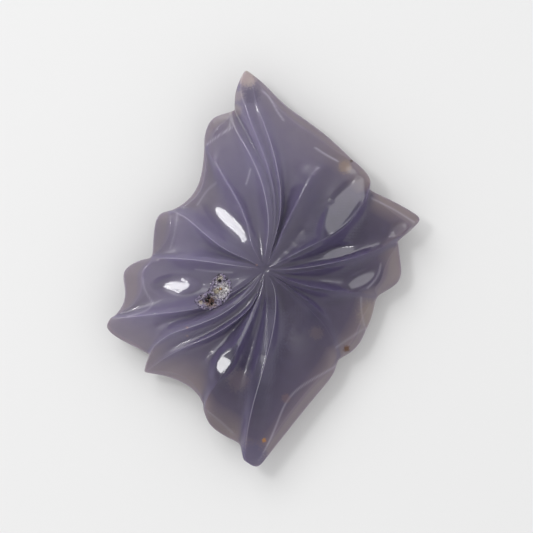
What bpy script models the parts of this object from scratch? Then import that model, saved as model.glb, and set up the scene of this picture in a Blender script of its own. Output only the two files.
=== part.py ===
"""A carved and polished blossom of blue chalcedony, with a small crystal-lined hollow.

The front is cut from a centre out to a scalloped rim in hollow petals that swirl
like a pinwheel. Where one petal rises over the next, its crest drops to a foot line.
The back is flat in the middle and slopes up to the thin rim. Blender 4.5, metres,
+Z up, with the origin under the middle of the outline, on the flat back.
"""

import math
import random
from dataclasses import dataclass

import bmesh
import bpy
import numpy as np
from mathutils import Vector
from mathutils.bvhtree import BVHTree
from mathutils.geometry import delaunay_2d_cdt

MM = 0.001

# The centre of the blossom, in millimetres.
HUB = (0.2, 0.2)
HUB_RING = 0.6
HUB_NEAR = 1.6
HUB_HEIGHT = 6.1
HUB_DIMPLE = 0.25

# The rim and the back, in millimetres.
RIM_THICKNESS = 1.1
RIM_UNDERSIDE = 2.4
RIM_FOLLOWS = 0.85
NARROW_FLANGE = 0.3
BACK_SCALES = (0.985, 0.88, 0.76, 0.64)
BACK_SHARE = 0.58

# How full the curves of a face are, as exponents; smaller is fuller.
FLANGE_FULLNESS = 0.7
SCOOP_ACROSS = 0.85
SCOOP_ALONG = 0.8
SAG_FULLNESS = 0.5
LIP_ONSET = 4
BULGE_ONSET = 1.7

# How finely the front is divided from the centre to the rim, with rows closer at the centre.
ROW_CROWDING = 1.1
HOLLOW_ROWS = 17
FLANGE_ROWS = 2
SPLINE_STEPS = 10

# The hollow lined with crystals, in millimetres.
PIT_DEPTH = 1.2
PIT_SHOULDER = 0.2
CUTTER_RISE = 1.5
CRUST_GAP = 0.3
CRUST_THICKNESS = 0.45
CRYSTAL_STEP = 0.55
CRYSTAL_JITTER = 0.12
CRYSTAL_HEIGHT = 0.6
LOW_CRYSTALS = 0.2
SHORTEST_CRYSTAL = 0.7
CRYSTAL_SEED = 4
ON_EDGE = 1e-3
SAME_PLACE = 1e-6
KEEP_INSIDE = 1

BODY_COLOUR = (0.20, 0.18, 0.28)
BODY_ROUGHNESS = 0.06
BODY_TRANSMISSION = 0.5
DRUSE_COLOUR = (0.55, 0.52, 0.50)
DRUSE_ROUGHNESS = 0.25
DRUSE_TRANSMISSION = 0.2
CHALCEDONY_IOR = 1.54
CREST_ANGLE = 35


@dataclass(frozen=True)
class Line:
    """A crest or foot line from the centre to the rim, and the face clockwise of it.

    Lengths are in millimetres. bearing is the direction in degrees, counter-clockwise
    from +X, in which the line leaves the centre. points run outwards and end on the
    rim. heights are the line's heights at equal shares of its length. rim holds the
    rim's own points from this line's end to the next line's end. hollow is how far
    the face is scooped below its two lines, and deepest at what share of its length.
    flange is how wide the face's flat edge is, lip how far the flange's inner edge
    stands up, and drop how far the rim sags. columns is how finely the face is divided
    across, and tip the place in rim of a sharp corner, which gets a column of its own.
    """

    name: str
    bearing: float
    points: tuple
    heights: tuple
    rim: tuple = ()
    hollow: float = 0.0
    deepest: float = 0.46
    flange: float = NARROW_FLANGE
    lip: float = 0.0
    drop: float = 0.0
    columns: int = 1
    tip: int = -1


LINES = (
    Line(
        "north west crest",
        98,
        ((0.3, 3.3), (0.6, 5.2), (0.7, 7.3), (0.6, 10.0), (-0.3, 14.1), (-1.3, 16.5),
         (-2.4, 18.8), (-3.7, 21.0), (-4.8, 22.8), (-5.1, 24.3), (-5.1, 25.5)),
        (6.65, 8.2, 8.0, 6.0),
    ),
    Line(
        "north groove",
        87,
        ((0.85, 3.6), (1.2, 5.7), (1.35, 8.9), (1.1, 11.7), (0.5, 14.8), (-0.6, 17.7),
         (-1.9, 20.5), (-3.2, 23.1), (-4.7, 25.7)),
        (6.55, 7.9, 7.5, 5.5),
        rim=((-4.8, 26.9), (-4.8, 27.9), (-4.7, 28.9), (-4.2, 29.7), (-3.9, 30.5)),
        hollow=0.2,
        flange=0.5,
        columns=2,
    ),
    Line(
        "north tip crest",
        80,
        ((1.05, 3.6), (1.6, 6.5), (1.85, 9.7), (1.6, 12.9), (0.6, 16.9), (-1.0, 20.9),
         (-2.2, 23.7), (-3.0, 26.1), (-3.8, 28.1), (-4.0, 29.5), (-3.65, 31.0)),
        (6.6, 8.1, 8.4, 6.6),
        rim=((-3.4, 31.6), (-3.0, 32.05), (-2.5, 31.9)),
        hollow=0.5,
        flange=0.5,
        columns=3,
        tip=1,
    ),
    Line(
        "north crest",
        73,
        ((1.4, 4.1), (1.9, 5.8), (2.4, 7.7), (2.7, 10.0), (2.7, 11.9), (2.5, 14.1),
         (2.0, 16.7), (1.4, 19.3), (0.6, 21.7), (-0.3, 24.1), (-1.1, 26.0), (-1.8, 28.5),
         (-2.2, 31.6)),
        (6.65, 8.2, 7.9, 6.4),
        rim=((-1.3, 31.0), (-0.3, 30.3), (1.3, 28.5), (3.0, 26.7), (5.8, 24.7), (9.0, 22.6),
             (12.2, 19.7), (13.6, 18.2)),
        hollow=2.2,
        deepest=0.4,
        flange=2.0,
        lip=0.1,
        drop=0.5,
        columns=6,
    ),
    Line(
        "north east ridge",
        62,
        ((2.1, 4.1), (2.9, 6.5), (4.2, 8.9), (6.6, 13.7), (8.6, 16.4), (11.4, 17.5), (14.1, 17.7)),
        (6.4, 7.0, 6.8, 5.6),
        rim=((14.9, 17.2), (16.0, 16.1), (16.7, 15.3)),
        hollow=1.6,
        deepest=0.4,
        flange=1.4,
        lip=0.1,
        drop=0.1,
        columns=5,
    ),
    Line(
        "east crest",
        28,
        ((4.2, 2.3), (7.4, 3.9), (9.8, 5.1), (11.8, 6.5), (13.8, 8.1), (15.2, 9.7), (16.2, 11.4),
         (16.8, 13.2), (17.0, 14.3)),
        (6.7, 8.7, 9.4, 7.0),
    ),
    Line(
        "east foot",
        17,
        ((3.6, 1.5), (7.4, 2.9), (10.6, 4.4), (13.4, 6.0), (15.7, 8.5), (16.6, 10.8), (16.9, 12.8)),
        (6.45, 7.4, 7.2, 5.3),
        rim=((18.6, 12.2), (21.8, 10.6), (24.0, 9.3), (25.4, 8.4), (25.0, 7.8), (23.7, 6.6),
             (22.6, 5.7)),
        hollow=1.5,
        flange=1.8,
        lip=0.2,
        columns=6,
        tip=3,
    ),
    Line(
        "east leaf crest",
        -2,
        ((4.2, 0.2), (7.0, 0.5), (11.4, 1.3), (14.1, 2.0), (16.6, 2.8), (19.0, 3.7), (21.4, 4.7)),
        (6.5, 7.6, 7.6, 5.2),
    ),
    Line(
        "east leaf foot",
        -12,
        ((4.2, -0.4), (7.0, -0.2), (11.4, 0.5), (14.1, 1.2), (16.6, 2.0), (19.0, 2.9), (21.5, 4.2)),
        (6.4, 7.1, 6.8, 4.7),
        rim=((21.7, 3.3), (21.9, 1.3), (22.2, -0.3), (22.1, -1.2), (21.6, -2.0), (20.8, -2.6),
             (19.8, -3.1)),
        hollow=1.5,
        flange=3.0,
        lip=0.3,
        drop=0.2,
        columns=5,
    ),
    Line(
        "south east crest",
        -26,
        ((4.2, -1.7), (7.4, -2.6), (11.4, -3.3), (13.8, -3.4), (15.7, -3.5), (18.3, -4.0)),
        (6.45, 7.3, 7.0, 4.8),
    ),
    Line(
        "south east foot",
        -34,
        ((4.2, -2.3), (7.4, -3.2), (11.4, -4.0), (13.8, -4.3), (15.7, -4.4), (17.8, -4.9)),
        (6.35, 6.9, 6.3, 4.4),
        rim=((17.7, -5.9), (17.3, -7.6), (16.6, -9.1), (16.0, -10.3), (15.4, -11.8),
             (14.6, -12.7), (13.8, -13.3), (12.9, -13.8)),
        hollow=1.1,
        flange=1.8,
        lip=0.5,
        drop=0.1,
        columns=5,
    ),
    Line(
        "south leaf outer foot",
        -40,
        ((3.0, -1.95), (5.5, -3.7), (7.7, -5.3), (9.8, -7.3), (11.4, -9.5), (12.2, -11.8),
         (12.2, -14.1)),
        (6.3, 6.6, 6.1, 4.3),
    ),
    Line(
        "south leaf outer crest",
        -48,
        ((2.6, -2.2), (5.0, -4.1), (7.0, -5.9), (9.0, -7.8), (10.6, -10.0), (11.4, -12.1),
         (11.8, -14.5)),
        (6.35, 6.95, 6.7, 4.8),
        rim=((11.75, -15.3), (11.4, -16.3), (10.6, -17.5), (9.1, -19.1), (7.4, -21.2),
             (4.2, -25.2), (1.0, -29.2), (-0.3, -30.8), (-1.1, -32.0), (-1.9, -31.8),
             (-2.6, -31.2)),
        hollow=1.9,
        flange=2.4,
        lip=0.1,
        drop=0.4,
        columns=8,
        tip=8,
    ),
    Line(
        "south crest",
        -62,
        ((1.3, -1.9), (1.8, -3.1), (1.95, -5.2), (1.8, -7.6), (1.2, -10.7), (0.4, -13.7),
         (-0.6, -17.2), (-1.6, -20.4), (-2.4, -23.6), (-2.9, -26.3), (-3.05, -28.3),
         (-3.3, -30.3)),
        (6.6, 8.1, 8.2, 6.2),
        rim=((-3.6, -29.3), (-3.75, -28.5)),
    ),
    Line(
        "south foot",
        -86,
        ((0.3, -2.9), (0.3, -5.5), (0.0, -8.3), (-0.6, -11.9), (-1.4, -15.1), (-2.4, -18.8),
         (-3.2, -22.3), (-3.7, -25.5), (-3.8, -27.7)),
        (6.4, 7.5, 7.3, 5.3),
        rim=((-4.8, -27.3), (-6.1, -26.7), (-7.4, -25.9), (-8.5, -25.1), (-9.2, -24.1),
             (-9.6, -22.9)),
        hollow=1.4,
        flange=2.0,
        lip=0.1,
        drop=0.2,
        columns=5,
    ),
    Line(
        "south west leaf crest",
        -95,
        ((-0.25, -3.1), (-1.1, -6.0), (-2.6, -9.2), (-4.2, -12.6), (-5.9, -15.3), (-7.5, -17.9),
         (-8.8, -19.6), (-9.5, -21.1), (-9.7, -22.3)),
        (6.6, 8.0, 8.0, 5.6),
    ),
    Line(
        "south west leaf foot",
        -102,
        ((-0.5, -3.2), (-1.6, -5.7), (-3.2, -8.9), (-4.9, -12.1), (-6.7, -14.8), (-8.3, -17.2),
         (-9.4, -19.0), (-9.8, -21.3)),
        (6.5, 7.6, 7.4, 5.0),
        rim=((-10.0, -20.7), (-10.7, -19.6), (-11.8, -18.7), (-13.1, -17.9), (-14.7, -17.2),
             (-16.6, -16.7), (-18.2, -16.5)),
        hollow=2.0,
        flange=1.2,
        drop=0.3,
        columns=5,
    ),
    Line(
        "south west ridge",
        -110,
        ((-0.8, -3.1), (-1.3, -4.6), (-2.4, -6.2), (-3.8, -7.5), (-5.8, -8.9), (-8.0, -10.3),
         (-10.6, -11.4), (-13.1, -12.4), (-15.5, -13.6), (-17.4, -15.0), (-19.2, -16.3)),
        (6.6, 7.6, 6.8, 5.0),
        rim=((-19.15, -15.3), (-18.7, -14.3)),
        hollow=1.1,
        flange=0.6,
        columns=4,
    ),
    Line(
        "west leaf crest",
        -124,
        ((-1.6, -2.9), (-3.0, -4.2), (-4.6, -5.5), (-6.7, -7.0), (-9.0, -8.0), (-11.5, -9.0),
         (-14.2, -9.7), (-16.3, -10.8), (-17.8, -12.1), (-18.4, -13.5)),
        (6.7, 8.2, 8.0, 5.4),
    ),
    Line(
        "west leaf foot",
        -133,
        ((-2.0, -2.4), (-3.4, -3.7), (-5.0, -5.0), (-7.0, -6.3), (-9.2, -7.4), (-11.7, -8.3),
         (-14.5, -9.1), (-16.7, -10.3), (-18.2, -11.6), (-18.7, -13.3)),
        (6.55, 7.8, 7.4, 4.8),
        rim=((-20.2, -12.5), (-21.4, -11.9), (-23.0, -11.1), (-24.3, -10.3), (-25.1, -9.6),
             (-25.45, -8.8), (-25.3, -8.2), (-25.0, -7.8)),
        hollow=1.7,
        flange=0.9,
        drop=0.1,
        columns=6,
        tip=5,
    ),
    Line(
        "west hollow lower crest",
        -146,
        ((-2.6, -2.0), (-4.6, -3.3), (-7.0, -4.7), (-9.4, -5.8), (-11.8, -6.3), (-15.0, -6.7),
         (-18.2, -7.0), (-21.4, -7.4), (-24.6, -7.6)),
        (6.6, 7.8, 7.6, 5.4),
    ),
    Line(
        "west hollow lower foot",
        -157,
        ((-2.8, -1.4), (-5.0, -2.7), (-7.4, -4.1), (-9.6, -5.1), (-11.8, -5.6), (-15.0, -6.0),
         (-18.2, -6.4), (-21.4, -6.8), (-23.8, -7.1)),
        (6.5, 7.3, 7.0, 4.9),
        rim=((-23.2, -6.5), (-22.6, -5.4), (-22.3, -4.3), (-22.3, -3.1), (-22.5, -2.0),
             (-22.8, -0.9), (-22.7, -0.1), (-22.1, 0.5), (-21.3, 1.1), (-20.2, 1.6), (-19.0, 1.9)),
        hollow=2.7,
        deepest=0.62,
        flange=2.8,
        lip=0.1,
        drop=0.4,
        columns=7,
    ),
    Line(
        "west crest",
        172,
        ((-2.2, 0.5), (-3.8, 0.7), (-6.2, 1.0), (-8.6, 1.4), (-11.0, 1.7), (-13.4, 1.9),
         (-15.8, 2.0), (-18.3, 2.0)),
        (6.65, 8.0, 8.0, 5.6),
    ),
    Line(
        "west foot",
        162,
        ((-2.2, 0.9), (-3.8, 1.3), (-6.2, 1.7), (-8.6, 2.1), (-11.0, 2.4), (-13.4, 2.6),
         (-15.8, 2.6), (-17.9, 2.6)),
        (6.55, 7.6, 7.3, 4.9),
        rim=((-17.9, 3.6), (-17.8, 5.7), (-17.6, 7.3), (-17.3, 8.7), (-16.8, 9.2), (-16.1, 9.5)),
        hollow=1.7,
        flange=2.4,
        lip=0.1,
        drop=0.2,
        columns=5,
    ),
    Line(
        "north west leaf crest",
        151,
        ((-2.7, 1.8), (-4.5, 2.5), (-6.2, 3.3), (-8.3, 4.8), (-10.2, 6.5), (-11.8, 7.9),
         (-13.1, 8.9), (-14.2, 9.4), (-15.5, 9.5)),
        (6.6, 7.9, 7.8, 5.2),
    ),
    Line(
        "north west leaf foot",
        141,
        ((-2.5, 2.3), (-4.2, 3.1), (-5.8, 4.0), (-7.8, 5.5), (-9.8, 7.3), (-11.2, 8.6),
         (-12.5, 9.5), (-14.6, 9.75)),
        (6.5, 7.5, 7.1, 4.8),
        rim=((-13.1, 10.5), (-12.2, 11.3), (-11.4, 12.2), (-10.7, 13.3), (-10.2, 14.8),
             (-9.9, 16.4), (-9.7, 18.1), (-9.6, 19.4)),
        hollow=2.6,
        deepest=0.65,
        flange=1.0,
        drop=0.2,
        columns=6,
    ),
    Line(
        "north west ridge",
        121,
        ((-1.9, 3.6), (-2.3, 5.2), (-2.7, 7.4), (-3.5, 9.7), (-4.5, 11.6), (-5.8, 13.8),
         (-7.2, 16.1), (-8.2, 17.7), (-9.6, 20.1)),
        (6.5, 7.6, 7.4, 5.0),
        rim=((-9.7, 20.9), (-9.5, 22.0), (-9.1, 23.3), (-8.5, 24.4), (-7.4, 24.9), (-6.1, 25.2)),
        hollow=1.8,
        flange=1.8,
        lip=0.1,
        drop=0.1,
        columns=6,
    ),
)

# The outline of the hollow lined with crystals, counter-clockwise in millimetres.
PIT_OUTLINE = (
    (-7.2, -0.5), (-8.2, -1.4), (-8.6, -2.6), (-9.2, -3.5), (-10.4, -4.0), (-11.1, -4.9),
    (-10.3, -5.8), (-9.0, -6.2), (-7.7, -6.1), (-6.7, -5.2), (-5.8, -4.3), (-5.2, -3.2),
    (-5.4, -2.0), (-6.0, -1.0), (-6.5, -0.5),
)


def clear_scene():
    """Removes whatever the scene holds."""
    for obj in list(bpy.data.objects):
        bpy.data.objects.remove(obj, do_unlink=True)


def spline(points):
    """A smooth curve near the points, from the first to the last (a uniform cubic B-spline)."""
    given = np.array(points, float)
    ends = np.vstack([2 * given[0] - given[1], given, 2 * given[-1] - given[-2]])
    found = []
    for i in range(len(ends) - 3):
        a, b, c, d = ends[i : i + 4]
        for step in range(SPLINE_STEPS):
            s = step / SPLINE_STEPS
            found.append(
                (
                    (1 - s) ** 3 * a
                    + (3 * s**3 - 6 * s**2 + 4) * b
                    + (-3 * s**3 + 3 * s**2 + 3 * s + 1) * c
                    + s**3 * d
                )
                / 6
            )
    found.append(given[-1])
    return np.array(found)


class Path:
    """A smooth curve that is read by share of its length."""

    def __init__(self, points):
        self.points = spline(points)
        steps = np.linalg.norm(np.diff(self.points, axis=0), axis=1)
        run = np.concatenate([[0.0], np.cumsum(steps)])
        self.length = run[-1]
        self.shares = run / run[-1]

    def at(self, share):
        return np.array(
            [np.interp(share, self.shares, self.points[:, i]) for i in range(self.points.shape[1])]
        )


def heading(degrees):
    return np.array([math.cos(math.radians(degrees)), math.sin(math.radians(degrees))])


def line_path(line):
    """The line seen from above, from the ring round the centre to the rim."""
    hub = np.array(HUB)
    start = [hub + HUB_RING * heading(line.bearing), hub + HUB_NEAR * heading(line.bearing)]
    return Path(start + [np.array(p) for p in line.points])


def height_path(line):
    """The line's height by share of its length."""
    heights = (HUB_HEIGHT, *line.heights)
    shares = np.linspace(0, 1, len(heights))
    return Path(list(zip(shares, heights)))


def height_at(path, share):
    return float(np.interp(share, path.points[:, 0], path.points[:, 1]))


def dome(u, power):
    """0 at both edges of a face and 1 in its middle."""
    return (4 * u * (1 - u)) ** power


def rim_path(line, first, last):
    """The rim along one face, and where a column has to read it so that one meets the tip."""
    points = [first, *map(np.array, line.rim), last]
    if line.tip < 0:
        return Path(points), (0.0, 1.0), (0.0, 1.0)
    corner = points[line.tip + 1]
    points.insert(line.tip + 1, corner)
    path = Path(points)
    nearest = np.argmin(np.linalg.norm(path.points - corner, axis=1))
    share = path.shares[nearest]
    column = min(max(round(share * line.columns), 1), line.columns - 1)
    return path, (0.0, column / line.columns, 1.0), (0.0, share, 1.0)


def petal_columns():
    """The front's points, as columns that run from the centre to the rim, all round."""
    paths = [line_path(line) for line in LINES]
    heights = [height_path(line) for line in LINES]
    columns = []
    for i, line in enumerate(LINES):
        following = (i + 1) % len(LINES)
        left, right = paths[i], paths[following]
        low, high = heights[i], heights[following]
        rim, asked, read = rim_path(line, left.points[-1], right.points[-1])
        for column in range(line.columns):
            u = column / line.columns
            length = (1 - u) * left.length + u * right.length
            width = NARROW_FLANGE + (line.flange - NARROW_FLANGE) * dome(u, FLANGE_FULLNESS)
            inner = 1 - width / length
            chord = (1 - u) * left.points[-1] + u * right.points[-1]
            bulge = rim.at(np.interp(u, asked, read)) - chord

            def place(share):
                straight = (1 - u) * left.at(share) + u * right.at(share)
                return straight + share**BULGE_ONSET * bulge

            def ruled(share):
                return (1 - u) * height_at(low, share) + u * height_at(high, share)

            def spacing(share):
                return float(np.linalg.norm(left.at(share) - right.at(share)))

            points = []
            widest = spacing(line.deepest * inner)
            across = dome(u, SCOOP_ACROSS)
            skew = math.log(0.5) / math.log(line.deepest)
            for row in range(HOLLOW_ROWS + 1):
                part = (row / HOLLOW_ROWS) ** ROW_CROWDING
                arch = math.sin(math.pi * part**skew) ** SCOOP_ALONG if row < HOLLOW_ROWS else 0.0
                share = part * inner
                arch *= min(spacing(share) / widest, 1.0)
                relief = line.lip * part**LIP_ONSET - line.hollow * arch
                z = ruled(share) + relief * across
                points.append((*place(share), z))
            shoulder = points[-1][2]
            edge = ruled(1.0) - line.drop * dome(u, SAG_FULLNESS)
            for row in range(1, FLANGE_ROWS + 1):
                part = row / FLANGE_ROWS
                share = inner + (1 - inner) * part
                points.append((*place(share), (1 - part) * shoulder + part * edge))
            columns.append(points)
    return np.array(columns)


def body_loops():
    """The stone's loops from the centre over the rim to the back, its centre, and the shift."""
    columns = petal_columns()
    rim = columns[:, -1]
    shift = (rim[:, :2].max(axis=0) + rim[:, :2].min(axis=0)) / 2
    columns[:, :, :2] -= shift
    hub = np.array(HUB) - shift
    loops = [columns[:, row] for row in range(columns.shape[1])]
    rim = columns[:, -1]
    under = RIM_UNDERSIDE + RIM_FOLLOWS * (rim[:, 2] - RIM_THICKNESS - RIM_UNDERSIDE)
    for scale in (*BACK_SCALES, BACK_SHARE):
        spread = (scale - BACK_SHARE) / (BACK_SCALES[0] - BACK_SHARE)
        loop = np.empty_like(rim)
        loop[:, :2] = hub + scale * (rim[:, :2] - hub)
        loop[:, 2] = under * spread
        loops.append(loop)
    return loops, hub, shift


def fan(bm, middle, ring):
    """Triangles from one point to each edge of a ring, with the ring clockwise from above."""
    centre = bm.verts.new(Vector(middle) * MM)
    for a, b in zip(ring, ring[1:] + ring[:1]):
        bm.faces.new((centre, b, a))


def loft(bm, loops):
    """Faces between closed loops of points, and the first and the last ring of vertices."""
    rings = [[bm.verts.new(Vector(p) * MM) for p in loop] for loop in loops]
    for near, far in zip(rings, rings[1:]):
        for i in range(len(near)):
            j = (i + 1) % len(near)
            bm.faces.new((near[i], near[j], far[j], far[i]))
    return rings[0], rings[-1]


def carved_body():
    """The carved stone before the hollow is cut, and how far its lines were shifted."""
    loops, hub, shift = body_loops()
    bm = bmesh.new()
    first, last = loft(bm, loops)
    fan(bm, (*hub, HUB_HEIGHT - HUB_DIMPLE), first)
    fan(bm, (*hub, 0.0), last)
    bmesh.ops.triangulate(bm, faces=bm.faces, quad_method="SHORT_EDGE")
    bmesh.ops.recalc_face_normals(bm, faces=bm.faces)
    return bm, shift


def pit_ring(shift, inset):
    """The hollow's outline in the stone's own frame, drawn in by inset."""
    outline = np.array(PIT_OUTLINE) - shift
    along = np.roll(outline, -1, axis=0) - np.roll(outline, 1, axis=0)
    along /= np.linalg.norm(along, axis=1)[:, None]
    inward = np.column_stack([-along[:, 1], along[:, 0]])
    return outline + inset * inward


def surface_height(tree, x, y):
    """Height in millimetres of the stone's front at a place in millimetres."""
    hit = tree.ray_cast(Vector((x * MM, y * MM, 1.0)), Vector((0, 0, -1)))
    return hit[0].z / MM


def pit_cutter(wall, bottom, floor, top):
    """The body that is cut away for the hollow: a sloping wall round a flat floor."""
    bm = bmesh.new()
    loops = (
        [(x, y, floor) for x, y in bottom],
        [(x, y, floor + PIT_SHOULDER) for x, y in wall],
        [(x, y, top) for x, y in wall],
    )
    first, last = loft(bm, loops)
    bm.faces.new(first)
    bm.faces.new(last)
    bmesh.ops.triangulate(bm, faces=bm.faces)
    bmesh.ops.recalc_face_normals(bm, faces=bm.faces)
    return bm


def edge_distance(place, outline):
    """How far a place is from a closed outline."""
    nearest = math.inf
    for a, b in zip(outline, np.roll(outline, -1, axis=0)):
        run = b - a
        share = np.clip(np.dot(place - a, run) / np.dot(run, run), 0, 1)
        nearest = min(nearest, float(np.linalg.norm(a + share * run - place)))
    return nearest


def druzy_crust(outline, floor):
    """The crystals that line the hollow: one body, flat below, with pointed crystals above."""
    rng = random.Random(CRYSTAL_SEED)
    low = outline.min(axis=0)
    high = outline.max(axis=0)
    places = [Vector(p) for p in outline]
    for y in np.arange(low[1], high[1], CRYSTAL_STEP):
        for x in np.arange(low[0], high[0], CRYSTAL_STEP):
            jitter = [rng.uniform(-CRYSTAL_JITTER, CRYSTAL_JITTER) for _ in range(2)]
            place = np.array([x, y]) + jitter
            if edge_distance(place, outline) > CRYSTAL_JITTER:
                places.append(Vector(place))
    edges = [(i, (i + 1) % len(outline)) for i in range(len(outline))]
    flat, _, triangles, *_ = delaunay_2d_cdt(places, edges, [], KEEP_INSIDE, SAME_PLACE)
    bm = bmesh.new()
    above = []
    below = []
    for place in flat:
        at_edge = edge_distance(np.array(place), outline) < ON_EDGE
        size = rng.choice((LOW_CRYSTALS, 1.0)) * rng.uniform(SHORTEST_CRYSTAL, 1.0)
        rise = 0.0 if at_edge else size * CRYSTAL_HEIGHT
        above.append(bm.verts.new(Vector((*place, floor + CRUST_THICKNESS + rise)) * MM))
        below.append(bm.verts.new(Vector((*place, floor)) * MM))
    for a, b, c in triangles:
        bm.faces.new((above[a], above[b], above[c]))
        bm.faces.new((below[c], below[b], below[a]))
    for edge in [e for e in bm.edges if len(e.link_faces) == 1 and e.verts[0] in above]:
        a, b = (above.index(v) for v in edge.verts)
        bm.faces.new((above[a], above[b], below[b], below[a]))
    loose = [v for v in bm.verts if not v.link_faces]
    bmesh.ops.delete(bm, geom=loose, context="VERTS")
    bmesh.ops.triangulate(bm, faces=bm.faces)
    bmesh.ops.recalc_face_normals(bm, faces=bm.faces)
    return bm


def material(name, colour, roughness, transmission):
    """A translucent stone finish."""
    made = bpy.data.materials.new(name)
    made.use_nodes = True
    shader = made.node_tree.nodes["Principled BSDF"]
    shader.inputs["Base Color"].default_value = (*colour, 1.0)
    shader.inputs["Roughness"].default_value = roughness
    shader.inputs["Metallic"].default_value = 0.0
    shader.inputs["IOR"].default_value = CHALCEDONY_IOR
    shader.inputs["Transmission Weight"].default_value = transmission
    return made


def add_object(name, bm, finish):
    """A named object at the origin that holds the mesh."""
    mesh = bpy.data.meshes.new(name)
    bm.to_mesh(mesh)
    bm.free()
    obj = bpy.data.objects.new(name, mesh)
    bpy.context.scene.collection.objects.link(obj)
    if finish:
        mesh.materials.append(finish)
    return obj


def shade(obj, angle):
    """Smooth faces that keep the edges sharper than the angle, in degrees."""
    obj.data.shade_smooth()
    obj.data.set_sharp_from_angle(angle=math.radians(angle))


def main():
    clear_scene()
    polished = material("polished_chalcedony", BODY_COLOUR, BODY_ROUGHNESS, BODY_TRANSMISSION)
    sparkling = material("druzy_quartz", DRUSE_COLOUR, DRUSE_ROUGHNESS, DRUSE_TRANSMISSION)
    bm, shift = carved_body()
    tree = BVHTree.FromBMesh(bm)
    stone = add_object("carved_stone", bm, polished)
    wall = pit_ring(shift, 0.0)
    lowest = min(surface_height(tree, x, y) for x, y in pit_ring(shift, PIT_SHOULDER))
    highest = max(surface_height(tree, x, y) for x, y in wall)
    floor = lowest - PIT_DEPTH
    cutter_mesh = pit_cutter(wall, pit_ring(shift, PIT_SHOULDER), floor, highest + CUTTER_RISE)
    cutter = add_object("hollow_cutter", cutter_mesh, None)
    cutter.hide_render = True
    cutter.display_type = "WIRE"
    cut = stone.modifiers.new("crystal hollow", "BOOLEAN")
    cut.operation = "DIFFERENCE"
    cut.object = cutter
    shade(stone, CREST_ANGLE)
    crust = druzy_crust(pit_ring(shift, PIT_SHOULDER + CRUST_GAP), floor + CRUST_GAP)
    add_object("druzy_crust", crust, sparkling)


main()
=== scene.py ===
"""The looks of a carved and polished blossom of blue chalcedony with a small druzy hollow.

The stone lies on its flat back on a pale table, seen from straight above in soft light.
Lengths are written in millimetres and made metres where a mesh takes them. The carved
lines, painted facet highlights, flats, mineral spots, painted reflections and dull
places are measured from one point near the centre, and PetalCarving.shift brings them
to the part's own origin. Some light and shade is painted into the colours: highlights
along crests and facet edges, fill light on walls and in hollows, lighter tones on the
side toward the lamps, a few reflections, and glints and shade among the druzy crystals.
"""

import logging
import math
import random
from dataclasses import dataclass, field
from enum import Enum

import bmesh
import bpy
import numpy as np
from mathutils import Matrix, Vector
from mathutils.bvhtree import BVHTree


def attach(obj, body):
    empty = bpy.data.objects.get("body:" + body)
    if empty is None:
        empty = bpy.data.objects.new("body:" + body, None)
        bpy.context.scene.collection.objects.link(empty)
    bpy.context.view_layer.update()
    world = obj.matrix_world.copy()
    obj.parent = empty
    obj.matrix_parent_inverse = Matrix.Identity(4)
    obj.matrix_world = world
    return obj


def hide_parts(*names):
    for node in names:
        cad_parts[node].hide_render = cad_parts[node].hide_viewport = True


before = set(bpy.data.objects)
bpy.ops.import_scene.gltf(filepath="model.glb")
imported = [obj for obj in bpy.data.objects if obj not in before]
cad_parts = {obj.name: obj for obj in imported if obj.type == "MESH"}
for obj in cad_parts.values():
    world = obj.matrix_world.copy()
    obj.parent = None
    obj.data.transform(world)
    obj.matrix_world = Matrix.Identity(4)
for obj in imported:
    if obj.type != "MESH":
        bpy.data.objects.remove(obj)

MM = 0.001
ROOT = "root"
PHOTO_PIXELS = 533
MM_PER_PIXEL = 0.16
STONE_MIDDLE_PIXEL = (264.0, 270.4)
# A point with more edges than this is the middle of a fan of faces.
FAN_EDGES = 6

log = logging.getLogger("chalcedony")


class Role(Enum):
    """What a carved line is, with how sharp its edge stays when the stone is smoothed."""

    CREST = 0.8
    FOOT = 0.12
    RIDGE = 0.3
    GROOVE = 0.1


@dataclass(frozen=True)
class CarvedLine:
    """A line from the centre to the rim, and the face clockwise of it.

    Lengths are in millimetres. bearing is the direction in degrees, counter-clockwise
    from +X, in which the line leaves the centre. points run outwards and end on the
    rim. heights are the line's heights at equal shares of its length. rim holds the
    rim's own points from this line's end to the next line's end. hollow is how far the
    face is scooped below its two lines, and deepest the share of its length where the
    scoop is deepest. flange is how wide its flat edge is, lip how far the flange's
    inner edge stands up, and drop how far the rim sags. columns is how many columns of
    points the face gets. tip is the place in rim of a sharp corner, which gets a column
    of its own. crest_highlight is how strongly a painted highlight, a pale line laid
    into the colour, shows along the line's polished edge.
    """

    role: Role
    bearing: float
    points: tuple
    heights: tuple
    rim: tuple = ()
    hollow: float = 0.0
    deepest: float = 0.46
    flange: float = 0.3
    lip: float = 0.0
    drop: float = 0.0
    columns: int = 2
    tip: int = -1
    crest_highlight: float = 0.0


@dataclass(frozen=True)
class FacetHighlight:
    """A painted highlight: a fine pale line laid into the colour where two polished faces of a petal
    meet, for the light their edge catches.

    points are in millimetres, and strength is how much of the painted highlight shows.
    """

    points: tuple
    strength: float = 0.45


# crest_highlight sets how strongly a painted highlight, a pale line in the colour, shows along a line's
# polished edge.
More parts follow.
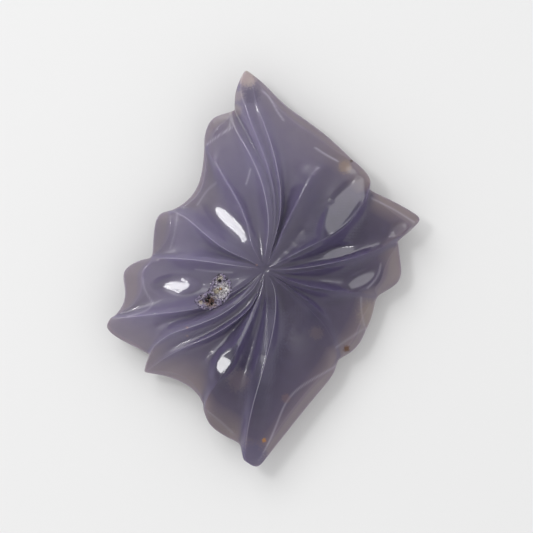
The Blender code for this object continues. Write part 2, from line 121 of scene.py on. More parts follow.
CARVED_LINES = (
    CarvedLine(
        Role.CREST, 98,
        ((0.3, 3.3), (0.6, 5.2), (0.7, 7.3), (0.6, 10.0), (-0.3, 14.1), (-1.3, 16.5),
         (-2.4, 18.8), (-3.7, 21.0), (-4.8, 22.8), (-5.1, 24.3), (-5.1, 25.5)),
        (6.65, 8.2, 8.0, 6.0),
        crest_highlight=0.9,
    ),
    CarvedLine(
        Role.GROOVE, 87,
        ((0.85, 3.6), (1.2, 5.7), (1.35, 8.9), (1.1, 11.7), (0.5, 14.8), (-0.6, 17.7),
         (-1.9, 20.5), (-3.2, 23.1), (-4.7, 25.7)),
        (6.55, 7.9, 7.5, 5.5),
        rim=((-4.8, 26.9), (-4.8, 27.9), (-4.7, 28.9), (-4.2, 29.7), (-3.9, 30.5)),
        hollow=0.2, flange=0.5, columns=3,
    ),
    CarvedLine(
        Role.RIDGE, 80,
        ((1.05, 3.6), (1.6, 6.5), (1.85, 9.7), (1.6, 12.9), (0.6, 16.9), (-1.0, 20.9),
         (-2.2, 23.7), (-3.0, 26.1), (-3.8, 28.1), (-4.0, 29.5), (-3.65, 31.0)),
        (6.6, 8.1, 8.4, 6.6),
        crest_highlight=0.5,
        rim=((-3.4, 31.6), (-3.0, 32.05), (-2.5, 31.9)),
        hollow=0.5, flange=0.5, columns=4, tip=1,
    ),
    CarvedLine(
        Role.CREST, 73,
        ((1.4, 4.1), (1.9, 5.8), (2.4, 7.7), (2.7, 10.0), (2.7, 11.9), (2.5, 14.1),
         (2.0, 16.7), (1.4, 19.3), (0.6, 21.7), (-0.3, 24.1), (-1.1, 26.0), (-1.8, 28.5),
         (-2.2, 31.6)),
        (6.65, 8.2, 7.9, 6.4),
        crest_highlight=1,
        rim=((-1.3, 31.0), (-0.3, 30.3), (1.3, 28.5), (3.0, 26.7), (5.8, 24.7), (9.0, 22.6),
             (12.2, 19.7), (13.6, 18.2)),
        hollow=2.2, deepest=0.4, flange=2.0, lip=0.1, drop=0.5, columns=9,
    ),
    CarvedLine(
        Role.RIDGE, 62,
        ((2.1, 4.1), (2.9, 6.5), (4.2, 8.9), (6.6, 13.7), (8.6, 16.4), (11.4, 17.5), (14.1, 17.7)),
        (6.4, 7.0, 6.8, 5.6),
        rim=((14.9, 17.2), (16.0, 16.1), (16.7, 15.3)),
        hollow=1.6, deepest=0.4, flange=1.4, lip=0.1, drop=0.1, columns=8,
    ),
    CarvedLine(
        Role.CREST, 28,
        ((4.2, 2.3), (7.4, 3.9), (9.8, 5.1), (11.8, 6.5), (13.8, 8.1), (15.2, 9.7), (16.2, 11.4),
         (16.8, 13.2), (17.0, 14.3)),
        (6.7, 8.7, 9.4, 7.0),
        crest_highlight=0.35,
    ),
    CarvedLine(
        Role.FOOT, 17,
        ((3.6, 1.5), (7.4, 2.9), (10.6, 4.4), (13.4, 6.0), (15.7, 8.5), (16.6, 10.8), (16.9, 12.8)),
        (6.45, 7.4, 7.2, 5.3),
        rim=((18.6, 12.2), (21.8, 10.6), (24.0, 9.3), (25.4, 8.4), (25.0, 7.8), (23.7, 6.6),
             (22.6, 5.7)),
        hollow=1.5, flange=1.8, lip=0.2, columns=8, tip=3,
    ),
    CarvedLine(
        Role.CREST, -2,
        ((4.2, 0.2), (7.0, 0.5), (11.4, 1.3), (14.1, 2.0), (16.6, 2.8), (19.0, 3.7), (21.4, 4.7)),
        (6.5, 7.6, 7.6, 5.2),
        crest_highlight=0.45,
    ),
    CarvedLine(
        Role.FOOT, -12,
        ((4.2, -0.4), (7.0, -0.2), (11.4, 0.5), (14.1, 1.2), (16.6, 2.0), (19.0, 2.9), (21.5, 4.2)),
        (6.4, 7.1, 6.8, 4.7),
        rim=((21.7, 3.3), (21.9, 1.3), (22.2, -0.3), (22.1, -1.2), (21.6, -2.0), (20.8, -2.6),
             (19.8, -3.1)),
        hollow=1.5, flange=3.0, lip=0.3, drop=0.2, columns=7,
    ),
    CarvedLine(
        Role.CREST, -26,
        ((4.2, -1.7), (7.4, -2.6), (11.4, -3.3), (13.8, -3.4), (15.7, -3.5), (18.3, -4.0)),
        (6.45, 7.3, 7.0, 4.8),
        crest_highlight=0.3,
    ),
    CarvedLine(
        Role.FOOT, -34,
        ((4.2, -2.3), (7.4, -3.2), (11.4, -4.0), (13.8, -4.3), (15.7, -4.4), (17.8, -4.9)),
        (6.35, 6.9, 6.3, 4.4),
        rim=((17.7, -5.9), (17.3, -7.6), (16.6, -9.1), (16.0, -10.3), (15.4, -11.8),
             (14.6, -12.7), (13.8, -13.3), (12.9, -13.8)),
        hollow=1.1, flange=1.8, lip=0.5, drop=0.1, columns=7,
    ),
    CarvedLine(
        Role.FOOT, -40,
        ((3.0, -1.95), (5.5, -3.7), (7.7, -5.3), (9.8, -7.3), (11.4, -9.5), (12.2, -11.8),
         (12.2, -14.1)),
        (6.3, 6.6, 6.1, 4.3),
    ),
    CarvedLine(
        Role.RIDGE, -48,
        ((2.6, -2.2), (5.0, -4.1), (7.0, -5.9), (9.0, -7.8), (10.6, -10.0), (11.4, -12.1),
         (11.8, -14.5)),
        (6.35, 6.95, 6.7, 4.8),
        crest_highlight=0.2,
        rim=((11.75, -15.3), (11.4, -16.3), (10.6, -17.5), (9.1, -19.1), (7.4, -21.2),
             (4.2, -25.2), (1.0, -29.2), (-0.3, -30.8), (-1.1, -32.0), (-1.9, -31.8),
             (-2.6, -31.2)),
        hollow=1.9, flange=2.4, lip=0.1, drop=0.4, columns=11, tip=8,
    ),
    CarvedLine(
        Role.CREST, -62,
        ((1.3, -1.9), (1.8, -3.1), (1.95, -5.2), (1.8, -7.6), (1.2, -10.7), (0.4, -13.7),
         (-0.6, -17.2), (-1.6, -20.4), (-2.4, -23.6), (-2.9, -26.3), (-3.05, -28.3),
         (-3.3, -30.3)),
        (6.6, 8.1, 8.2, 6.2),
        crest_highlight=0.9,
        rim=((-3.6, -29.3), (-3.75, -28.5)),
    ),
    CarvedLine(
        Role.FOOT, -86,
        ((0.3, -2.9), (0.3, -5.5), (0.0, -8.3), (-0.6, -11.9), (-1.4, -15.1), (-2.4, -18.8),
         (-3.2, -22.3), (-3.7, -25.5), (-3.8, -27.7)),
        (6.4, 7.5, 7.3, 5.3),
        rim=((-4.8, -27.3), (-6.1, -26.7), (-7.4, -25.9), (-8.5, -25.1), (-9.2, -24.1),
             (-9.6, -22.9)),
        hollow=1.4, flange=2.0, lip=0.1, drop=0.2, columns=7,
    ),
    CarvedLine(
        Role.CREST, -95,
        ((-0.25, -3.1), (-1.1, -6.0), (-2.6, -9.2), (-4.2, -12.6), (-5.9, -15.3), (-7.5, -17.9),
         (-8.8, -19.6), (-9.5, -21.1), (-9.7, -22.3)),
        (6.6, 8.0, 8.0, 5.6),
        crest_highlight=0.4,
    ),
    CarvedLine(
        Role.FOOT, -102,
        ((-0.5, -3.2), (-1.6, -5.7), (-3.2, -8.9), (-4.9, -12.1), (-6.7, -14.8), (-8.3, -17.2),
         (-9.4, -19.0), (-9.8, -21.3)),
        (6.5, 7.6, 7.4, 5.0),
        rim=((-10.0, -20.7), (-10.7, -19.6), (-11.8, -18.7), (-13.1, -17.9), (-14.7, -17.2),
             (-16.6, -16.7), (-18.2, -16.5)),
        hollow=2.0, flange=1.2, drop=0.3, columns=7,
    ),
    CarvedLine(
        Role.RIDGE, -110,
        ((-0.8, -3.1), (-1.3, -4.6), (-2.4, -6.2), (-3.8, -7.5), (-5.8, -8.9), (-8.0, -10.3),
         (-10.6, -11.4), (-13.1, -12.4), (-15.5, -13.6), (-17.4, -15.0), (-19.2, -16.3)),
        (6.6, 7.6, 6.8, 5.0),
        crest_highlight=0.8,
        rim=((-19.15, -15.3), (-18.7, -14.3)),
        hollow=1.1, flange=0.6, columns=6,
    ),
    CarvedLine(
        Role.CREST, -124,
        ((-1.6, -2.9), (-3.0, -4.2), (-4.6, -5.5), (-6.7, -7.0), (-9.0, -8.0), (-11.5, -9.0),
         (-14.2, -9.7), (-16.3, -10.8), (-17.8, -12.1), (-18.4, -13.5)),
        (6.7, 8.2, 8.0, 5.4),
        crest_highlight=1,
    ),
    CarvedLine(
        Role.FOOT, -133,
        ((-2.0, -2.4), (-3.4, -3.7), (-5.0, -5.0), (-7.0, -6.3), (-9.2, -7.4), (-11.7, -8.3),
         (-14.5, -9.1), (-16.7, -10.3), (-18.2, -11.6), (-18.7, -13.3)),
        (6.55, 7.8, 7.4, 4.8),
        rim=((-20.2, -12.5), (-21.4, -11.9), (-23.0, -11.1), (-24.3, -10.3), (-25.1, -9.6),
             (-25.45, -8.8), (-25.3, -8.2), (-25.0, -7.8)),
        hollow=1.7, flange=0.9, drop=0.1, columns=8, tip=5,
    ),
    CarvedLine(
        Role.CREST, -146,
        ((-2.6, -2.0), (-4.6, -3.3), (-7.0, -4.7), (-9.4, -5.8), (-11.8, -6.3), (-15.0, -6.7),
         (-18.2, -7.0), (-21.4, -7.4), (-24.6, -7.6)),
        (6.6, 7.8, 7.6, 5.4),
        crest_highlight=0.6,
    ),
    CarvedLine(
        Role.FOOT, -157,
        ((-2.8, -1.4), (-5.0, -2.7), (-7.4, -4.1), (-9.6, -5.1), (-11.8, -5.6), (-15.0, -6.0),
         (-18.2, -6.4), (-21.4, -6.8), (-23.8, -7.1)),
        (6.5, 7.3, 7.0, 4.9),
        rim=((-23.2, -6.5), (-22.6, -5.4), (-22.3, -4.3), (-22.3, -3.1), (-22.5, -2.0),
             (-22.8, -0.9), (-22.7, -0.1), (-22.1, 0.5), (-21.3, 1.1), (-20.2, 1.6), (-19.0, 1.9)),
        hollow=2.7, deepest=0.62, flange=2.8, lip=0.1, drop=0.4, columns=10,
    ),
    CarvedLine(
        Role.CREST, 172,
        ((-2.2, 0.5), (-3.8, 0.7), (-6.2, 1.0), (-8.6, 1.4), (-11.0, 1.7), (-13.4, 1.9),
         (-15.8, 2.0), (-18.3, 2.0)),
        (6.65, 8.0, 8.0, 5.6),
        crest_highlight=1,
    ),
    CarvedLine(
        Role.FOOT, 162,
        ((-2.2, 0.9), (-3.8, 1.3), (-6.2, 1.7), (-8.6, 2.1), (-11.0, 2.4), (-13.4, 2.6),
         (-15.8, 2.6), (-17.9, 2.6)),
        (6.55, 7.6, 7.3, 4.9),
        rim=((-17.9, 3.6), (-17.8, 5.7), (-17.6, 7.3), (-17.3, 8.7), (-16.8, 9.2), (-16.1, 9.5)),
        hollow=1.7, flange=2.4, lip=0.1, drop=0.2, columns=7,
    ),
    CarvedLine(
        Role.CREST, 151,
        ((-2.7, 1.8), (-4.5, 2.5), (-6.2, 3.3), (-8.3, 4.8), (-10.2, 6.5), (-11.8, 7.9),
         (-13.1, 8.9), (-14.2, 9.4), (-15.5, 9.5)),
        (6.6, 7.9, 7.8, 5.2),
        crest_highlight=0.9,
    ),
    CarvedLine(
        Role.FOOT, 141,
        ((-2.5, 2.3), (-4.2, 3.1), (-5.8, 4.0), (-7.8, 5.5), (-9.8, 7.3), (-11.2, 8.6),
         (-12.5, 9.5), (-14.6, 9.75)),
        (6.5, 7.5, 7.1, 4.8),
        rim=((-13.1, 10.5), (-12.2, 11.3), (-11.4, 12.2), (-10.7, 13.3), (-10.2, 14.8),
             (-9.9, 16.4), (-9.7, 18.1), (-9.6, 19.4)),
        hollow=2.6, deepest=0.65, flange=1.0, drop=0.2, columns=8,
    ),
    CarvedLine(
        Role.RIDGE, 121,
        ((-1.9, 3.6), (-2.3, 5.2), (-2.7, 7.4), (-3.5, 9.7), (-4.5, 11.6), (-5.8, 13.8),
         (-7.2, 16.1), (-8.2, 17.7), (-9.6, 20.1)),
        (6.5, 7.6, 7.4, 5.0),
        crest_highlight=0.5,
        rim=((-9.7, 20.9), (-9.5, 22.0), (-9.1, 23.3), (-8.5, 24.4), (-7.4, 24.9), (-6.1, 25.2)),
        hollow=1.8, flange=1.8, lip=0.1, drop=0.1, columns=8,
    ),
)

# Painted highlights: fine pale lines laid into the colour along the facet edges.
FACET_HIGHLIGHTS = (
    FacetHighlight(((-9.1, 20.2), (-7.1, 21.7), (-5.1, 22.9)), 0.5),
    FacetHighlight(((-7.7, 14.0), (-9.1, 13.0), (-10.1, 11.4), (-10.7, 10.5))),
    FacetHighlight(((-13.9, 9.2), (-14.2, 6.1), (-15.0, 3.6)), 0.3),
    FacetHighlight(((-19.4, -1.2), (-19.2, -3.0), (-18.4, -4.3), (-17.8, -5.2)), 0.4),
    FacetHighlight(((-17.8, -5.2), (-18.4, -6.3), (-20.2, -6.9), (-21.8, -7.3)), 0.35),
    FacetHighlight(((-9.0, -22.5), (-7.0, -24.1), (-5.1, -25.9)), 0.25),
    FacetHighlight(
        ((-1.0, -30.7), (0.6, -27.8), (1.9, -24.9), (2.9, -22.0), (4.2, -19.9), (6.1, -18.3),
         (8.6, -16.9), (11.4, -15.3)),
        0.35,
    ),
    FacetHighlight(((15.5, -4.3), (15.5, -6.7), (16.0, -8.7), (16.3, -9.5)), 0.35),
    FacetHighlight(((15.8, -9.4), (14.1, -10.5), (11.5, -12.3)), 0.3),
    FacetHighlight(((18.6, 1.0), (18.4, -0.4), (17.6, -1.7), (16.5, -2.8)), 0.35),
    FacetHighlight(((17.1, 11.6), (21.0, 9.7), (24.0, 7.7)), 0.4),
    FacetHighlight(((-0.3, 28.7), (1.0, 27.6), (1.8, 25.8), (3.0, 24.1)), 0.55),
    FacetHighlight(((8.2, 19.6), (9.3, 18.8), (11.7, 17.5)), 0.6),
    FacetHighlight(((7.8, 15.4), (8.6, 16.4)), 0.4),
    FacetHighlight(((-2.2, 16.2), (-2.5, 15.0), (-2.9, 13.8)), 0.6),
    FacetHighlight(((-11.0, 0.2), (-8.0, -0.2), (-5.1, -0.3)), 0.35),
)

PIT_OUTLINE = (
    (-7.2, -0.5), (-8.2, -1.4), (-8.6, -2.6), (-9.2, -3.5), (-10.4, -4.0), (-11.1, -4.9),
    (-10.3, -5.8), (-9.0, -6.2), (-7.7, -6.1), (-6.7, -5.2), (-5.8, -4.3), (-5.2, -3.2),
    (-5.4, -2.0), (-6.0, -1.0), (-6.5, -0.5),
)


def spline(points: np.ndarray, steps: int = 10) -> np.ndarray:
    """A smooth curve near the points, from the first to the last.

    Args:
        points: the points of a uniform cubic B-spline, one a row.
        steps: how many samples each stretch gets.

    Returns:
        The samples, one a row.
    """
    given = np.array(points, float)
    ends = np.vstack([2 * given[0] - given[1], given, 2 * given[-1] - given[-2]])
    found = []
    for i in range(len(ends) - 3):
        a, b, c, d = ends[i : i + 4]
        for step in range(steps):
            s = step / steps
            weights = ((1 - s) ** 3, 3 * s**3 - 6 * s**2 + 4, -3 * s**3 + 3 * s**2 + 3 * s + 1, s**3)
            found.append((weights[0] * a + weights[1] * b + weights[2] * c + weights[3] * d) / 6)
    found.append(given[-1])
    return np.array(found)


class Path:
    """A smooth curve that is read by share of its length."""

    def __init__(self, points: list) -> None:
        """Samples the curve.

        Args:
            points: the points that the curve runs near.
        """
        self.points = spline(np.array(points, float))
        steps = np.linalg.norm(np.diff(self.points, axis=0), axis=1)
        run = np.concatenate([[0.0], np.cumsum(steps)])
        self.length = float(run[-1])
        self.shares = run / run[-1]

    def at(self, share: float) -> np.ndarray:
        """The curve's point at a share of its length."""
        axes = range(self.points.shape[1])
        return np.array([np.interp(share, self.shares, self.points[:, i]) for i in axes])


def dome(u: float, power: float) -> float:
    """0 at both edges of a face and 1 in its middle."""
    return (4 * u * (1 - u)) ** power


def eased(share: np.ndarray) -> np.ndarray:
    """A share from 0 to 1 with a gentle start and end."""
    return share * share * (3 - 2 * share)


def heading(degrees: float) -> np.ndarray:
    """The unit vector of a bearing."""
    return np.array([math.cos(math.radians(degrees)), math.sin(math.radians(degrees))])


def deselect_all() -> None:
    """Leaves object mode with nothing selected, so that an operator acts on new work alone."""
    if bpy.context.object and bpy.context.object.mode != "OBJECT":
        bpy.ops.object.mode_set(mode="OBJECT")
    bpy.ops.object.select_all(action="DESELECT")


def apply_modifier(obj: bpy.types.Object, name: str) -> None:
    """Applies a modifier to its object's mesh.

    Args:
        obj: the object.
        name: the modifier's name.
    """
    deselect_all()
    obj.select_set(True)
    bpy.context.view_layer.objects.active = obj
    bpy.ops.object.modifier_apply(modifier=name)


def mesh_tree(mesh: bpy.types.Mesh) -> BVHTree:
    """A tree of a mesh's faces, to cast rays at.

    Args:
        mesh: the mesh.

    Returns:
        The tree.
    """
    bm = bmesh.new()
    bm.from_mesh(mesh)
    tree = BVHTree.FromBMesh(bm)
    bm.free()
    return tree


def vertex_places(mesh: bpy.types.Mesh) -> np.ndarray:
    """A mesh's points in millimetres.

    Args:
        mesh: the mesh.

    Returns:
        The points, one a row.
    """
    values = np.empty(len(mesh.vertices) * 3)
    mesh.vertices.foreach_get("co", values)
    return values.reshape(-1, 3) / MM


def upward_shares(mesh: bpy.types.Mesh) -> np.ndarray:
    """How far a mesh faces upwards at each of its points.

    Args:
        mesh: the mesh.

    Returns:
        The height of each point's unit normal, from -1 to 1.
    """
    values = np.empty(len(mesh.vertices) * 3)
    mesh.vertex_normals.foreach_get("vector", values)
    return values.reshape(-1, 3)[:, 2]


def store(mesh: bpy.types.Mesh, name: str, values: np.ndarray | list) -> None:
    """Keeps one value at each point of a mesh, for the finish to read."""
    layer = mesh.attributes.new(name, "FLOAT", "POINT")
    layer.data.foreach_set("value", values)


@dataclass
class PetalCarving:
    """The carved surface as closed loops of points, in millimetres.

    The loops run from a ring round the centre, over the front and the rim, to the back.
    The powers shape how the scoops, the flange and the rim swell and fade: a power below
    1 keeps a form full almost to its edges, and one above 1 gathers it at its far end.
    """

    hub: tuple = (0.2, 0.2)
    hub_ring: float = 0.6
    hub_near: float = 1.6
    hub_height: float = 6.1
    rim_thickness: float = 1.1
    rim_underside: float = 2.4
    rim_follows: float = 0.85
    narrow_flange: float = 0.3
    hollow_rows: int = 26
    flange_rows: int = 3
    flange_power: float = 0.7
    across_power: float = 0.85
    bulge_power: float = 1.7
    row_power: float = 1.1
    scoop_power: float = 0.8
    lip_power: int = 4
    drop_power: float = 0.5
    back_scales: tuple = (0.985, 0.93, 0.88, 0.76, 0.64)
    back_share: float = 0.58
    shift: np.ndarray = field(default_factory=lambda: np.zeros(2))
    column_roles: list = field(default_factory=list)
    column_highlight: list = field(default_factory=list)

    def line_path(self, line: CarvedLine) -> Path:
        """A line seen from above, from the ring round the centre to the rim.

        Args:
            line: the carved line.

        Returns:
            Its path.
        """
        hub = np.array(self.hub)
        toward = heading(line.bearing)
        start = [hub + self.hub_ring * toward, hub + self.hub_near * toward]
        return Path(start + [np.array(p) for p in line.points])

    def height_path(self, line: CarvedLine) -> Path:
        """A line's height by share of its length."""
        heights = (self.hub_height, *line.heights)
        return Path(list(zip(np.linspace(0, 1, len(heights)), heights)))

    def rim_path(self, line: CarvedLine, first: np.ndarray, last: np.ndarray) -> tuple:
        """The rim along one face.

        Args:
            line: the line that the face starts at.
            first: the line's end on the rim.
            last: the next line's end on the rim.

        Returns:
            The rim's path, and the places asked for and read so that a column meets the tip.
        """
        points = [first, *map(np.array, line.rim), last]
        if line.tip < 0:
            return Path(points), (0.0, 1.0), (0.0, 1.0)
        corner = points[line.tip + 1]
        points.insert(line.tip + 1, corner)
        path = Path(points)
        share = path.shares[np.argmin(np.linalg.norm(path.points - corner, axis=1))]
        column = min(max(round(share * line.columns), 1), line.columns - 1)
        return path, (0.0, column / line.columns, 1.0), (0.0, share, 1.0)

    def face_column(
        self, line: CarvedLine, u: float, sides: tuple, heights: tuple, rim: np.ndarray
    ) -> list:
        """One column of points across a face, from the centre to the rim.

        Args:
            line: the line that the face starts at.
            u: the column's place between the two lines, from 0 to 1.
            sides: the two lines' paths seen from above.
            heights: the two lines' heights by share of their length.
            rim: the column's end on the rim.

        Returns:
            The points, one (x, y, z) each.
        """
        left, right = sides
        low, high = heights
        length = (1 - u) * left.length + u * right.length
        wide = dome(u, self.flange_power)
        width = self.narrow_flange + (line.flange - self.narrow_flange) * wide
        inner = 1 - width / length
        bulge = rim - (1 - u) * left.points[-1] - u * right.points[-1]
        across = dome(u, self.across_power)
        skew = math.log(0.5) / math.log(line.deepest)

        def place(share: float) -> np.ndarray:
            """The column's place at a share of the way out."""
            return (1 - u) * left.at(share) + u * right.at(share) + share**self.bulge_power * bulge

        def ruled(share: float) -> float:
            """The height of a straight line between the two lines there."""
            ends = [float(np.interp(share, p.points[:, 0], p.points[:, 1])) for p in (low, high)]
            return (1 - u) * ends[0] + u * ends[1]

        def spacing(share: float) -> float:
            """How far apart the two lines are there."""
            return float(np.linalg.norm(left.at(share) - right.at(share)))

        points = []
        widest = spacing(line.deepest * inner)
        for row in range(self.hollow_rows + 1):
            part = (row / self.hollow_rows) ** self.row_power
            scoop = 0.0
            if 0 < row < self.hollow_rows:
                scoop = math.sin(math.pi * part**skew) ** self.scoop_power
            share = part * inner
            scoop *= min(spacing(share) / widest, 1.0)
            z = ruled(share) - line.hollow * scoop * across + line.lip * part**self.lip_power * across
            points.append((*place(share), z))
        shoulder = points[-1][2]
        edge = ruled(1.0) - line.drop * dome(u, self.drop_power)
        for row in range(1, self.flange_rows + 1):
            part = row / self.flange_rows
            share = inner + (1 - inner) * part
            points.append((*place(share), (1 - part) * shoulder + part * edge))
        return points

    def front(self) -> np.ndarray:
        """Works out the front and keeps each column's role and painted crest highlight.

        Returns:
            The points, as columns from the centre to the rim, clockwise all round.
        """
        paths = [self.line_path(line) for line in CARVED_LINES]
        heights = [self.height_path(line) for line in CARVED_LINES]
        columns = []
        self.column_roles = []
        self.column_highlight = []
        for i, line in enumerate(CARVED_LINES):
            j = (i + 1) % len(CARVED_LINES)
            rim, asked, read = self.rim_path(line, paths[i].points[-1], paths[j].points[-1])
            for column in range(line.columns):
                u = column / line.columns
                end = rim.at(float(np.interp(u, asked, read)))
                columns.append(
                    self.face_column(line, u, (paths[i], paths[j]), (heights[i], heights[j]), end)
                )
                self.column_roles.append(line.role if column == 0 else None)
                self.column_highlight.append(line.crest_highlight if column == 0 else 0.0)
        return np.array(columns)

    def loops(self) -> list:
        """Works out the whole surface and brings the outline's middle to the origin.

        Returns:
            The loops, from the ring round the centre to the edge of the flat back.
        """
        columns = self.front()
        rim = columns[:, -1]
        self.shift = (rim[:, :2].max(axis=0) + rim[:, :2].min(axis=0)) / 2
        columns[:, :, :2] -= self.shift
        hub = np.array(self.hub) - self.shift
        found = [columns[:, row] for row in range(columns.shape[1])]
        rim = columns[:, -1]
        rise = rim[:, 2] - self.rim_thickness - self.rim_underside
        under = self.rim_underside + self.rim_follows * rise
        for scale in (*self.back_scales, self.back_share):
            spread = (scale - self.back_share) / (self.back_scales[0] - self.back_share)
            loop = np.empty_like(rim)
            loop[:, :2] = hub + scale * (rim[:, :2] - hub)
            loop[:, 2] = under * spread
            found.append(loop)
        return found


class ShaderSketch:
    """A material's node tree, built a node at a time."""

    def __init__(self, name: str) -> None:
        """Starts a material with a Principled shader and Object coordinates.

        Args:
            name: the material's name.
        """
        self.material = bpy.data.materials.new(name)
        self.material.use_nodes = True
        self.tree = self.material.node_tree
        self.shader = self.tree.nodes["Principled BSDF"]
        self.output = self.tree.nodes["Material Output"]
        self.place = self.add("ShaderNodeTexCoord").outputs["Object"]

    def add(
        self, kind: str, links: dict | None = None, values: dict | None = None, **settings: str
    ) -> bpy.types.Node:
        """Adds a node.

        Args:
            kind: the node's type.
            links: input name or number to the socket that feeds it.
            values: input name or number to its value.
            settings: the node's own properties.

        Returns:
            The node.
        """
        node = self.tree.nodes.new(kind)
        for name, value in settings.items():
            setattr(node, name, value)
        for name, value in (values or {}).items():
            node.inputs[name].default_value = value
        for name, socket in (links or {}).items():
            self.tree.links.new(socket, node.inputs[name])
        return node

    def feed(self, socket: bpy.types.NodeSocket, name: str) -> None:
        """Joins a socket to one of the shader's inputs."""
        self.tree.links.new(socket, self.shader.inputs[name])

    def set_values(self, values: dict) -> None:
        """Sets the shader's own numbers, by input name."""
        for name, value in values.items():
            self.shader.inputs[name].default_value = value

    def stored(self, name: str) -> bpy.types.NodeSocket:
        """A value that the mesh keeps at each of its points."""
        return self.add("ShaderNodeAttribute", attribute_name=name).outputs["Fac"]

    def place_from_above(self) -> bpy.types.NodeSocket:
        """Object coordinates with their height left out."""
        values = {1: (1.0, 1.0, 0.0)}
        flat = self.add("ShaderNodeVectorMath", {0: self.place}, values, operation="MULTIPLY")
        return flat.outputs[0]

    def noise(self, size: float, detail: float) -> bpy.types.Node:
        """Cloudy noise.

        Args:
            size: how large its features are, in millimetres.
            detail: how many finer layers it has.

        Returns:
            The noise node.
        """
        values = {"Scale": 1 / (size * MM), "Detail": detail, "Roughness": 0.55}
        return self.add("ShaderNodeTexNoise", {"Vector": self.place}, values)

    def ramp(self, factor: bpy.types.NodeSocket, places: tuple, colours: tuple) -> bpy.types.NodeSocket:
        """A colour ramp.

        Args:
            factor: the value that picks the colour.
            places: where each colour stands, from low to high.
            colours: the colours, each (r, g, b).

        Returns:
            The colour.
        """
        node = self.add("ShaderNodeValToRGB", {"Fac": factor})
        elements = node.color_ramp.elements
        while len(elements) < len(places):
            elements.new(0.5)
        for element, place, colour in zip(elements, places, colours):
            element.position = place
            element.color = (*colour, 1.0)
        return node.outputs["Color"]

    def spread(
        self, value: bpy.types.NodeSocket, low: float, high: float, top: float = 1.0
    ) -> bpy.types.NodeSocket:
        """Maps a value smoothly from low..high to 0..top.

        Args:
            value: the value.
            low: where the result is 0.
            high: where the result reaches top.
            top: the highest result.

        Returns:
            The result, which stays between 0 and top.
        """
        ends = {"From Min": low, "From Max": high, "To Min": 0.0, "To Max": top}
        node = self.add("ShaderNodeMapRange", {"Value": value}, ends, interpolation_type="SMOOTHSTEP")
        return node.outputs["Result"]

    def multiply(self, first: bpy.types.NodeSocket, second: bpy.types.NodeSocket) -> bpy.types.NodeSocket:
        """The product of two values."""
        return self.add("ShaderNodeMath", {0: first, 1: second}, operation="MULTIPLY").outputs[0]

    def mix(
        self,
        share: bpy.types.NodeSocket,
        first: bpy.types.NodeSocket | tuple,
        second: bpy.types.NodeSocket | tuple,
    ) -> bpy.types.NodeSocket:
        """Mixes two colours.

        Args:
            share: how much of the second colour shows.
            first: a colour, as a socket or an (r, g, b).
            second: the other colour.

        Returns:
            The mixed colour.
        """
        node = self.add("ShaderNodeMix", data_type="RGBA")
        colours = [socket for socket in node.inputs if socket.type == "RGBA"]
        self.tree.links.new(share, node.inputs["Factor"])
        for socket, value in zip(colours, (first, second)):
            if isinstance(value, bpy.types.NodeSocket):
                self.tree.links.new(value, socket)
            else:
                socket.default_value = (*value, 1.0)
        return next(socket for socket in node.outputs if socket.type == "RGBA")


@dataclass(frozen=True)
class StainOrSheen:
    """A small spot with a ragged edge: a mineral mark, or, where it stands for light, a painted
    reflection, glint or shade.

    centre and radius are in millimetres. The spot is whole up to core halves of its
    radius and gone past fade halves.
    """

    centre: tuple
    radius: float
    colour: tuple
    strength: float = 1.0
    core: float = 0.9
    fade: float = 2.2

    def over(
        self,
        sketch: ShaderSketch,
        colour: bpy.types.NodeSocket,
        shift: np.ndarray,
        wander: bpy.types.NodeSocket,
    ) -> bpy.types.NodeSocket:
        """Lays the spot over a colour.

        Args:
            sketch: the finish that the spot goes into.
            colour: the colour under the spot.
            shift: how far the stone's own lines were moved, in millimetres.
            wander: the noise that makes the edge ragged.

        Returns:
            The colour with the spot.
        """
        x, y = (np.array(self.centre) - shift) * MM
        half = self.radius * MM / 2
        sources = {0: wander, 2: sketch.place_from_above()}
        moved = sketch.add(
            "ShaderNodeVectorMath", sources, {1: (2 * half,) * 3}, operation="MULTIPLY_ADD"
        )
        centre = {1: (x + half, y + half, half)}
        away = sketch.add("ShaderNodeVectorMath", {0: moved.outputs[0]}, centre, operation="DISTANCE")
        near = sketch.spread(away.outputs["Value"], self.fade * half, self.core * half, self.strength)
        return sketch.mix(near, colour, self.colour)


@dataclass(frozen=True)
class CloudOrPaintedLight:
    """Cloudy colour inside a stone, or, among the druzy crystals, painted glints and painted shade.

    size is in millimetres, and detail is how many finer layers its noise has. The cloud
    fades in where the noise lies between the limits, up to strength.
    """

    size: float
    detail: float
    limits: tuple
    strength: float
    colour: tuple

    def over(self, sketch: ShaderSketch, colour: bpy.types.NodeSocket) -> bpy.types.NodeSocket:
        """Lays the cloud over a colour."""
        noise = sketch.noise(self.size, self.detail).outputs["Fac"]
        return sketch.mix(sketch.spread(noise, *self.limits, self.strength), colour, self.colour)


@dataclass(frozen=True)
class Tint:
    """A tone that shows where a value stored on the mesh is high.

    The tone fades in where the value lies between the limits, up to strength.
    """

    stored: str
    limits: tuple
    strength: float
    colour: tuple

    def over(self, sketch: ShaderSketch, colour: bpy.types.NodeSocket) -> bpy.types.NodeSocket:
        """Lays the tone over a colour."""
        share = sketch.spread(sketch.stored(self.stored), *self.limits, self.strength)
        return sketch.mix(share, colour, self.colour)


